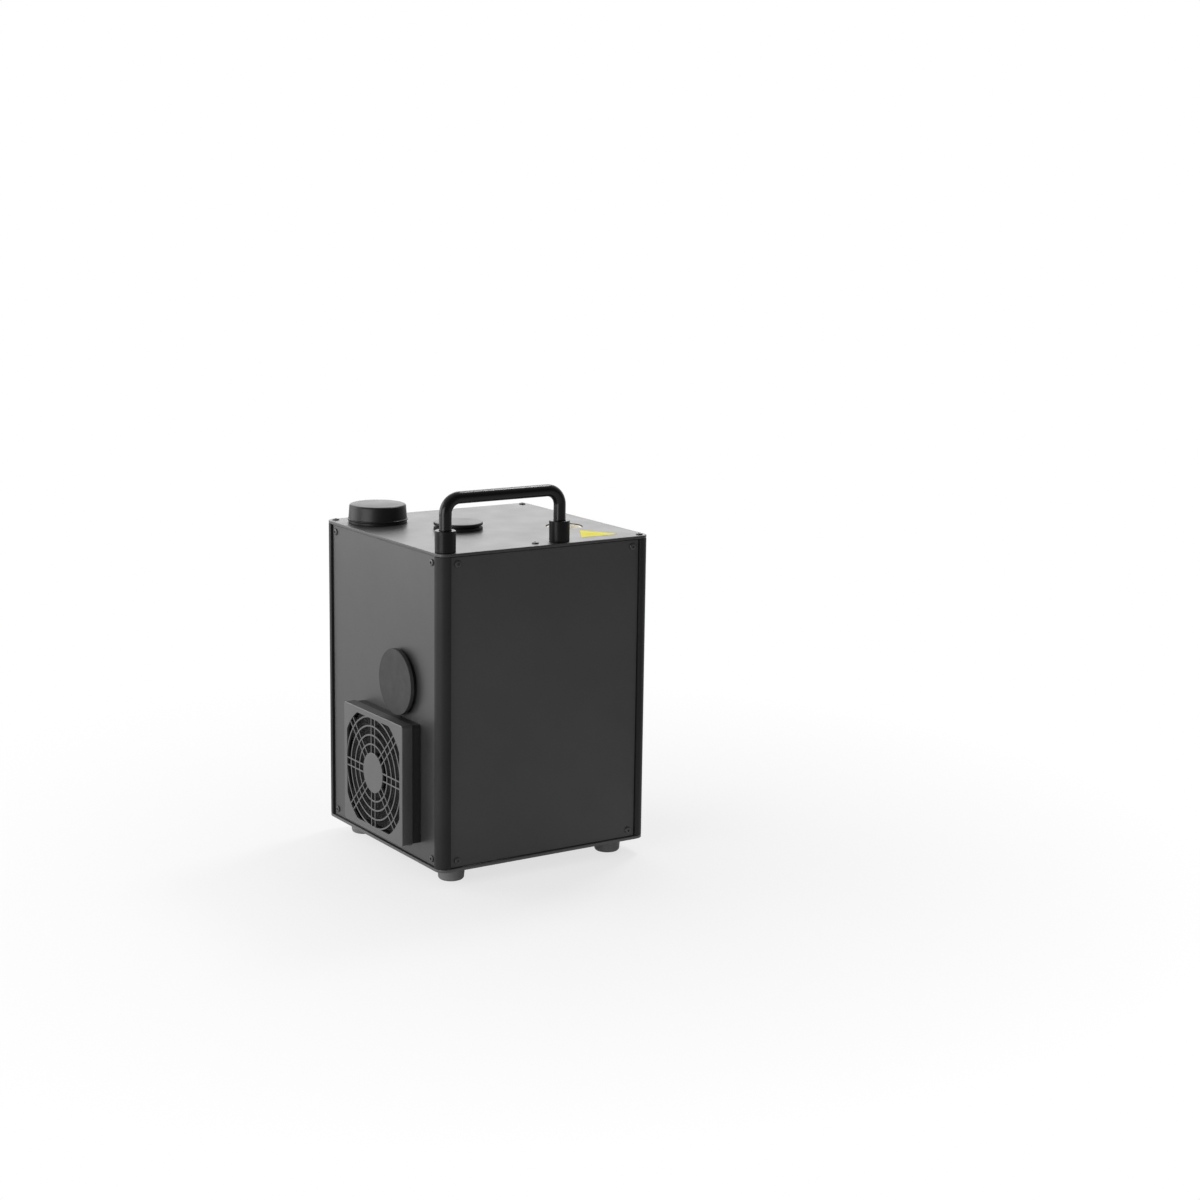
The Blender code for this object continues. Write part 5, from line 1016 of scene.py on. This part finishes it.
def build_nozzle():
    """Ceramic liner in the nozzle hole."""
    low, high = corners("nozzle_liner")
    outer = half_of("nozzle_liner")
    bore = outer - LINER_WALL
    run = [(bore, low[2], 0), (outer, low[2], 0), (outer, high[2], LINER_EDGE),
           (bore, high[2], LINER_BORE_EDGE)]
    turned_piece("ceramic_liner", run, upright("nozzle_liner", 0), "nozzle_ceramic", "nozzle_liner")


def build_patch():
    """The plain yellow patch in front of the nozzle."""
    front = FRONT_FACE + PATCH_FRONT
    triangle = filleted([(LEFT_FACE + PATCH_LEFT, front, PATCH_CORNER),
                         (LEFT_FACE + PATCH_RIGHT, front, PATCH_CORNER),
                         (LEFT_FACE + PATCH_TIP[0], FRONT_FACE + PATCH_TIP[1], PATCH_CORNER)])
    patch = sheet(triangle, [], TOP_FACE, TOP_FACE + PATCH_THICKNESS, PATCH_EDGE)
    piece("yellow_patch", [patch], None, finish=PATCH_YELLOW)


def folded_turn(turn):
    """Each turn folded to the nearest side's middle, from 0 to an eighth of the circle."""
    quarter = turn % (math.pi / 2)
    return np.minimum(quarter, math.pi / 2 - quarter)


def square_reach(turn, half, corner):
    """How far a square with round corners reaches at each turn: to its side, or past the side's
    straight part to the corner's circle."""
    folded = folded_turn(turn)
    centre = half - corner
    side = half / np.cos(folded)
    across = centre * (np.cos(folded) - np.sin(folded))
    rest = np.maximum(corner ** 2 - across ** 2, 0)
    round_part = centre * (np.cos(folded) + np.sin(folded)) + np.sqrt(rest)
    return np.where(half * np.tan(folded) > centre, round_part, side)


def opening_reach(turn, half, beyond):
    """How far the grille's opening reaches: to its square, but no further than its corner circle."""
    return np.minimum(half / np.cos(folded_turn(turn)), half + beyond)


def guard_turns(half, corner):
    """Turns once round the guard, close together at its four corners."""
    lean = math.atan((half - corner) / half)
    straight = np.linspace(-lean, lean, SIDE_STEPS, endpoint=False)
    bend = np.linspace(lean, math.pi / 2 - lean, CORNER_STEPS, endpoint=False)
    quarter = np.concatenate([straight, bend])
    return np.concatenate([quarter + i * math.pi / 2 for i in range(4)])


def cover_shell(half, back, front):
    """The cover's wall, face and border as one closed skin: rows from the wall's back edge over the
    front to the opening, behind the face and down the inside of the wall."""
    turn = guard_turns(half, COVER_CORNER)
    opening = opening_reach(turn, half - OPENING_BORDER, OPENING_CORNER)
    inner = square_reach(turn, half - COVER_WALL, INSIDE_CORNER)
    rows = [(square_reach(turn, half - EDGE_STRIP, COVER_CORNER), back),
            (square_reach(turn, half, COVER_CORNER), back + EDGE_STRIP),
            (square_reach(turn, half, COVER_CORNER), front - COVER_EDGE)]
    for a in np.radians((22, 45, 68, 90)):
        inset = COVER_EDGE * (1 - math.cos(a))
        reach = square_reach(turn, half - inset, COVER_CORNER - inset)
        rows.append((reach, front - COVER_EDGE * (1 - math.sin(a))))
    rows.append((square_reach(turn, half - COVER_EDGE - EDGE_STRIP, COVER_CORNER - COVER_EDGE), front))
    rows.append((opening + OPENING_EDGE + EDGE_STRIP, front))
    for a in np.radians((0, 30, 60, 90)):
        rows.append((opening + OPENING_EDGE * (1 - math.sin(a)), front - OPENING_EDGE * (1 - math.cos(a))))
    rows.append((opening, front - COVER_FACE))
    rows.append((inner, front - COVER_FACE))
    rows.append((inner, back))
    return wrap(np.stack([polar(reach, turn, z) for reach, z in rows]), closed=True)


def rib_section(width, low, high):
    """A rib's section across its way: flat sides, softly rounded front."""
    return filleted([(width / 2, low, 0), (width / 2, high, RIB_EDGE), (-width / 2, high, RIB_EDGE),
                     (-width / 2, low, 0)], steps=4)


def grille_skins(opening, low, high):
    """Hub, rings and pairs of parallel spokes. A ring is the rib's section turned round the middle; a
    spoke is the section carried from the hub to the border."""
    skins = [turned_round([(0, high, 0), (HUB_RADIUS, high, HUB_EDGE), (HUB_RADIUS, low, 0), (0, low, 0)])]
    section = rib_section(RIB, low + RING_SINK, high - RING_SINK)
    for radius in np.linspace(RING_START, opening + RING_BEYOND, RINGS):
        skins.append(turned(section + (radius, 0)))
    across, up = rib_section(SPOKE, low + SPOKE_SINK, high - SPOKE_SINK).T
    start = HUB_RADIUS - RIB
    for i in range(SPOKE_PAIRS):
        reach = opening + SPOKE_BEYOND + (OPENING_CORNER if i % 2 else 0)
        for side in (-0.5, 0.5):
            rows = [np.stack((0 * across + x, across + side * PAIR_SPACING, up), 1) for x in (start, reach)]
            turn = Matrix.Rotation(2 * math.pi * i / SPOKE_PAIRS, 4, "Z")
            skins.append(placed(wrap(np.stack(rows)), turn))
    return skins


def foam_skin(half, low, high):
    """The filter foam: a slab with cut corners in rings from the middle outwards, its front dimpled by
    the product of waves in three directions, a pore across each."""
    turn = turns(FOAM_STEPS)[None, :]
    folded = folded_turn(turn)
    side = half / np.cos(folded)
    chop = (2 * half - FOAM_CUT) / (np.cos(folded) + np.sin(folded))
    reach = np.minimum(side, chop)
    shares = np.linspace(0, 1, FOAM_ROWS)[:, None]
    x = shares * reach * np.cos(turn)
    y = shares * reach * np.sin(turn)
    waves = np.ones_like(x)
    for heading in np.radians((10, 70, 130)):
        along = x * math.cos(heading) + y * math.sin(heading)
        drift = DRIFT * PORE * np.sin(DRIFT_TURN * along / PORE / DRIFT_PORES + 3 * heading)
        waves = waves * np.cos(math.pi * (along + drift) / PORE)
    front = np.stack((x, y, high - PORE_DEPTH * np.abs(waves)), -1)
    back_x = x[::-FOAM_BACK_ROW]
    back = np.stack((back_x, y[::-FOAM_BACK_ROW], 0 * back_x + low), -1)
    return wrap(np.concatenate([front, back]))


def build_guard():
    """Filter guard: grille cover, tray with the fan's screws, and foam."""
    low, high = corners("guard_cover")
    middle = (low + high) / 2
    half = half_of("guard_cover", 1)
    front = LEFT_FACE - low[0]
    place = on_side("left", middle[1], middle[2])
    skins = [cover_shell(half, GUARD_SPLIT + GAP, front)]
    skins += grille_skins(half - OPENING_BORDER, front - COVER_FACE, front)
    piece("grille_cover", [placed(skin, place) for skin in skins], "guard_plastic", "guard_cover",
          ("guard_cover",))
    build_tray(place)
    foam_low, foam_high = corners("guard_foam")
    skin = foam_skin(half_of("guard_foam", 1), LEFT_FACE - foam_high[0], LEFT_FACE - foam_low[0])
    piece("foam_pad", [placed(skin, place)], "filter_foam", stands_for=("guard_foam",), flat=False)


def build_tray(place):
    """The guard's tray: a wall round a floor with the fan's opening, and four screws in the floor."""
    low, high = corners("guard_base")
    size = high[1] - low[1]
    inside = size - 2 * GUARD_WALL
    back = PANEL_FACE + GAP
    wall = sheet(rounded(size, size, COVER_CORNER), [rounded(inside, inside, INSIDE_CORNER)], back,
                 GUARD_SPLIT)
    wide = inside + TRAY_OVERLAP
    floor = sheet(rounded(wide, wide, INSIDE_CORNER), [circle(0, 0, FAN_OPENING, ROUND)],
                  back + TRAY_SINK, back + GUARD_FLOOR)
    piece("guard_tray", [placed(wall, place), placed(floor, place)], "fan_plastic",
          stands_for=("guard_base",))
    add_screws("fan_screw", [place @ at(sx * FAN_SCREW_SPACING, sy * FAN_SCREW_SPACING, back + GUARD_FLOOR)
                             for sx in (-1, 1) for sy in (-1, 1)],
               FAN_SCREW_HEAD, FAN_SCREW_HEIGHT)


def build_feet():
    """Four rubber feet with their recessed screws."""
    for name in ("front_left", "front_right", "rear_right", "rear_left"):
        node = f"foot_{name}"
        top = BASE_UNDER - GAP
        run = [(0, top, 0), (half_of(node), top, FOOT_TOP_EDGE), (FOOT_SIDE, 0, FOOT_EDGE),
               (FOOT_RECESS, 0, FOOT_RECESS_EDGE), (FOOT_RECESS, FOOT_RECESS_DEPTH, 0),
               (0, FOOT_RECESS_DEPTH, 0)]
        turned_piece(f"rubber_foot_{name}", run, upright(node, 0), "foot_rubber", node, steps=MEDIUM_ROUND)
        screw = placed(screw_skin(FOOT_SCREW_RADIUS, FOOT_SCREW_HEIGHT),
                       upright(node, FOOT_RECESS_DEPTH) @ UPSIDE_DOWN)
        piece(f"foot_screw_{name}", [screw], None, finish=SCREW_STEEL, flat=False)


def build_window():
    """The display's window behind the rear panel."""
    low, high = corners("display_window")
    middle = middle_of("display_window")
    lens = sheet(rounded(high[0] - low[0], high[2] - low[2], WINDOW_CORNER), [], low[1] - REAR_FACE,
                 high[1] - REAR_FACE)
    piece("display_lens", [placed(lens, on_side("rear", middle[0], middle[2]))], "display_plastic",
          stands_for=("display_window",))


def build_buttons():
    """Four push buttons: a dished cap through the panel, a collar behind it and a stem."""
    back = PANEL_BACK - GAP
    under = back - COLLAR_THICKNESS
    for count in range(1, BUTTONS + 1):
        node = f"button_{count}"
        low, high = corners(node)
        middle = middle_of(node)
        proud = high[1] - REAR_FACE
        end = low[1] - REAR_FACE
        collar = half_of(node)
        radius = collar - COLLAR
        run = [(0, proud - BUTTON_DISH, 0), (radius * DISH_RADIUS, proud - DISH_RIM, DISH_ROUND),
               (radius - BUTTON_TAPER, proud, BUTTON_EDGE), (radius, back, 0), (collar, back, COLLAR_EDGE),
               (collar, under, COLLAR_EDGE), (BUTTON_STEM, under, 0), (BUTTON_STEM, end, 0), (0, end, 0)]
        turned_piece(f"push_button_{count}", run, on_side("rear", middle[0], middle[2]), "button_plastic",
                     node, node, BUTTON_ROUND)


def build_connectors():
    """Power module with its fuse drawer and rocker, and the signal sockets: slot, body, rounded edge."""
    for node, slot, body, edge in (
            ("power_module", "connector_plastic", "root", 0.0005),
            ("fuse_drawer", "connector_plastic", "fuse_drawer", 0.0003),
            ("power_rocker", "connector_plastic", "power_rocker", 0.0004),
            ("signal_input", "connector_metal", "root", 0.0003),
            ("signal_output", "connector_metal", "root", 0.0003),
            ("output_latch", "connector_metal", "output_latch", 0.0003)):
        softened(node, slot, body, edge)


def dress_inner_nodes():
    """The nodes that stay as they are get the finish of their slot."""
    for row in frame["record"]["subparts"]:
        node = frame["nodes"][row["node"]]
        if not node.hide_render:
            node.data.materials.clear()
            node.data.materials.append(FINISH[row["material_slot"]])


# Studio

LENS = 69.0
SENSOR = 36.0
CAMERA_PLACE = (-1.16159, -1.98282, 0.71068)
CAMERA_HEADING = -33.50
CAMERA_RISE = 11.18
CAMERA_ROLL = 0.82
FLOOR_RADIUS = 7.0
FLOOR_TONE = 0.86
FLOOR_ROUGHNESS = 0.9
FLOOR_SHADE = 0.30
FLOOR_TURNS_WHITE = (0.20, 0.75)
FLOOR_REFLECTED = 0.95
FLOOR_FADES = (-0.25, 0.05)
ROOM_AS_LIGHT = 0.35
ROOM_IN_FRONT = 0.12
ROOM_FADES = (-0.6, 0.5)
LAMPS = (
    # place, size and watts: two on the left, a large one behind on the right, a small one above
    ((-1.1, 1.1, 0.70), 1.2, 11.5),
    ((-1.7, -0.45, 0.30), 1.2, 20.0),
    ((0.9, 1.9, 1.3), 1.6, 14.0),
    ((1.1, 0.5, 2.0), 0.4, 12.0),
)


def make_camera():
    """The photograph's camera: its back axis from heading and rise, then rolled about it."""
    heading = math.radians(CAMERA_HEADING)
    rise = math.radians(CAMERA_RISE)
    roll = math.radians(CAMERA_ROLL)
    back = Vector((math.sin(heading) * math.cos(rise), -math.cos(heading) * math.cos(rise), math.sin(rise)))
    right = Vector((math.cos(heading), math.sin(heading), 0))
    up = back.cross(right)
    across = right * math.cos(roll) + up * math.sin(roll)
    upward = up * math.cos(roll) - right * math.sin(roll)
    data = bpy.data.cameras.new("camera")
    data.lens = LENS
    data.sensor_width = SENSOR
    camera = add_object("camera", data)
    camera.matrix_world = at(*CAMERA_PLACE) @ Matrix((across, upward, back)).transposed().to_4x4()
    bpy.context.scene.camera = camera


def chosen(tree, switch, off, on):
    """One of two numbers or values, by a switch of 0 or 1."""
    mix = tree.nodes.new("ShaderNodeMix")
    tree.links.new(switch, mix.inputs["Factor"])
    for socket, value in (("A", off), ("B", on)):
        if isinstance(value, float):
            mix.inputs[socket].default_value = value
        else:
            tree.links.new(value, mix.inputs[socket])
    return mix.outputs["Result"]


def by_ray(tree, light, reflection, sight):
    """One of three numbers or values by the kind of ray: as light, in reflections, or seen."""
    rays = tree.nodes.new("ShaderNodeLightPath")
    value = chosen(tree, rays.outputs["Is Glossy Ray"], light, reflection)
    for kind in ("Is Camera Ray", "Is Transmission Ray"):
        value = chosen(tree, rays.outputs[kind], value, sight)
    return value


def along_y(tree, point, low, high, start, end):
    """A number that goes from low to high as a point's Y goes from start to end."""
    split = tree.nodes.new("ShaderNodeSeparateXYZ")
    tree.links.new(point, split.inputs["Vector"])
    return spread(tree, split.outputs["Y"], low, high, start, end)


def make_world():
    """A white room. Reflections see it white behind and dim in front, and as a light it is dimmer."""
    world = bpy.data.worlds.new("studio")
    bpy.context.scene.world = world
    world.use_nodes = True
    tree = world.node_tree
    room = tree.nodes["Background"]
    room.inputs["Color"].default_value = (1, 1, 1, 1)
    reflected = along_y(tree, point_of(tree, "Generated"), ROOM_IN_FRONT, 1.0, *ROOM_FADES)
    tree.links.new(by_ray(tree, ROOM_AS_LIGHT, reflected, 1.0), room.inputs["Strength"])


def make_floor():
    """A pale disc: it keeps the machine's soft shadow and turns white away from it. Reflections see
    it whiter behind the machine than in front."""
    rim = polar(FLOOR_RADIUS, turns(ROUND), 0)
    mesh = bpy.data.meshes.new("floor")
    mesh.from_pydata(rim.tolist(), [], [list(range(ROUND))])
    floor = add_object("floor", mesh)
    floor.location = (0, 0, -GAP)
    made, shader = new_finish("floor_white", (FLOOR_TONE,) * 3, FLOOR_ROUGHNESS)
    tree = made.node_tree
    length = tree.nodes.new("ShaderNodeVectorMath")
    length.operation = "LENGTH"
    tree.links.new(point_of(tree), length.inputs[0])
    white = spread(tree, length.outputs["Value"], 1 - FLOOR_SHADE, 1.0, *FLOOR_TURNS_WHITE)
    behind = along_y(tree, point_of(tree), 0.0, FLOOR_REFLECTED, *FLOOR_FADES)
    glow = tree.nodes.new("ShaderNodeEmission")
    mix = tree.nodes.new("ShaderNodeMixShader")
    tree.links.new(by_ray(tree, 0.0, behind, white), mix.inputs["Fac"])
    tree.links.new(shader.outputs["BSDF"], mix.inputs[1])
    tree.links.new(glow.outputs["Emission"], mix.inputs[2])
    tree.links.new(mix.outputs["Shader"], tree.nodes["Material Output"].inputs["Surface"])
    mesh.materials.append(made)


def make_lights():
    """Soft square lamps that look at the middle of the machine."""
    target = Vector((MIDDLE_X, MIDDLE_Y, TOP_FACE / 2))
    for count, (place, size, watts) in enumerate(LAMPS):
        data = bpy.data.lights.new(f"lamp_{count}", "AREA")
        data.shape = "SQUARE"
        data.size = size
        data.energy = watts
        lamp = add_object(f"lamp_{count}", data)
        lamp.location = place
        lamp.rotation_euler = (target - Vector(place)).to_track_quat("-Z", "Y").to_euler()


make_camera()
make_world()
make_floor()
make_lights()
build_posts()
build_plates()
build_panels()
build_handle()
build_filler()
build_top_plug()
build_side_plug()
build_nozzle()
build_patch()
build_guard()
build_feet()
build_window()
build_buttons()
build_connectors()
dress_inner_nodes()
bpy.context.scene.view_settings.view_transform = "Standard"
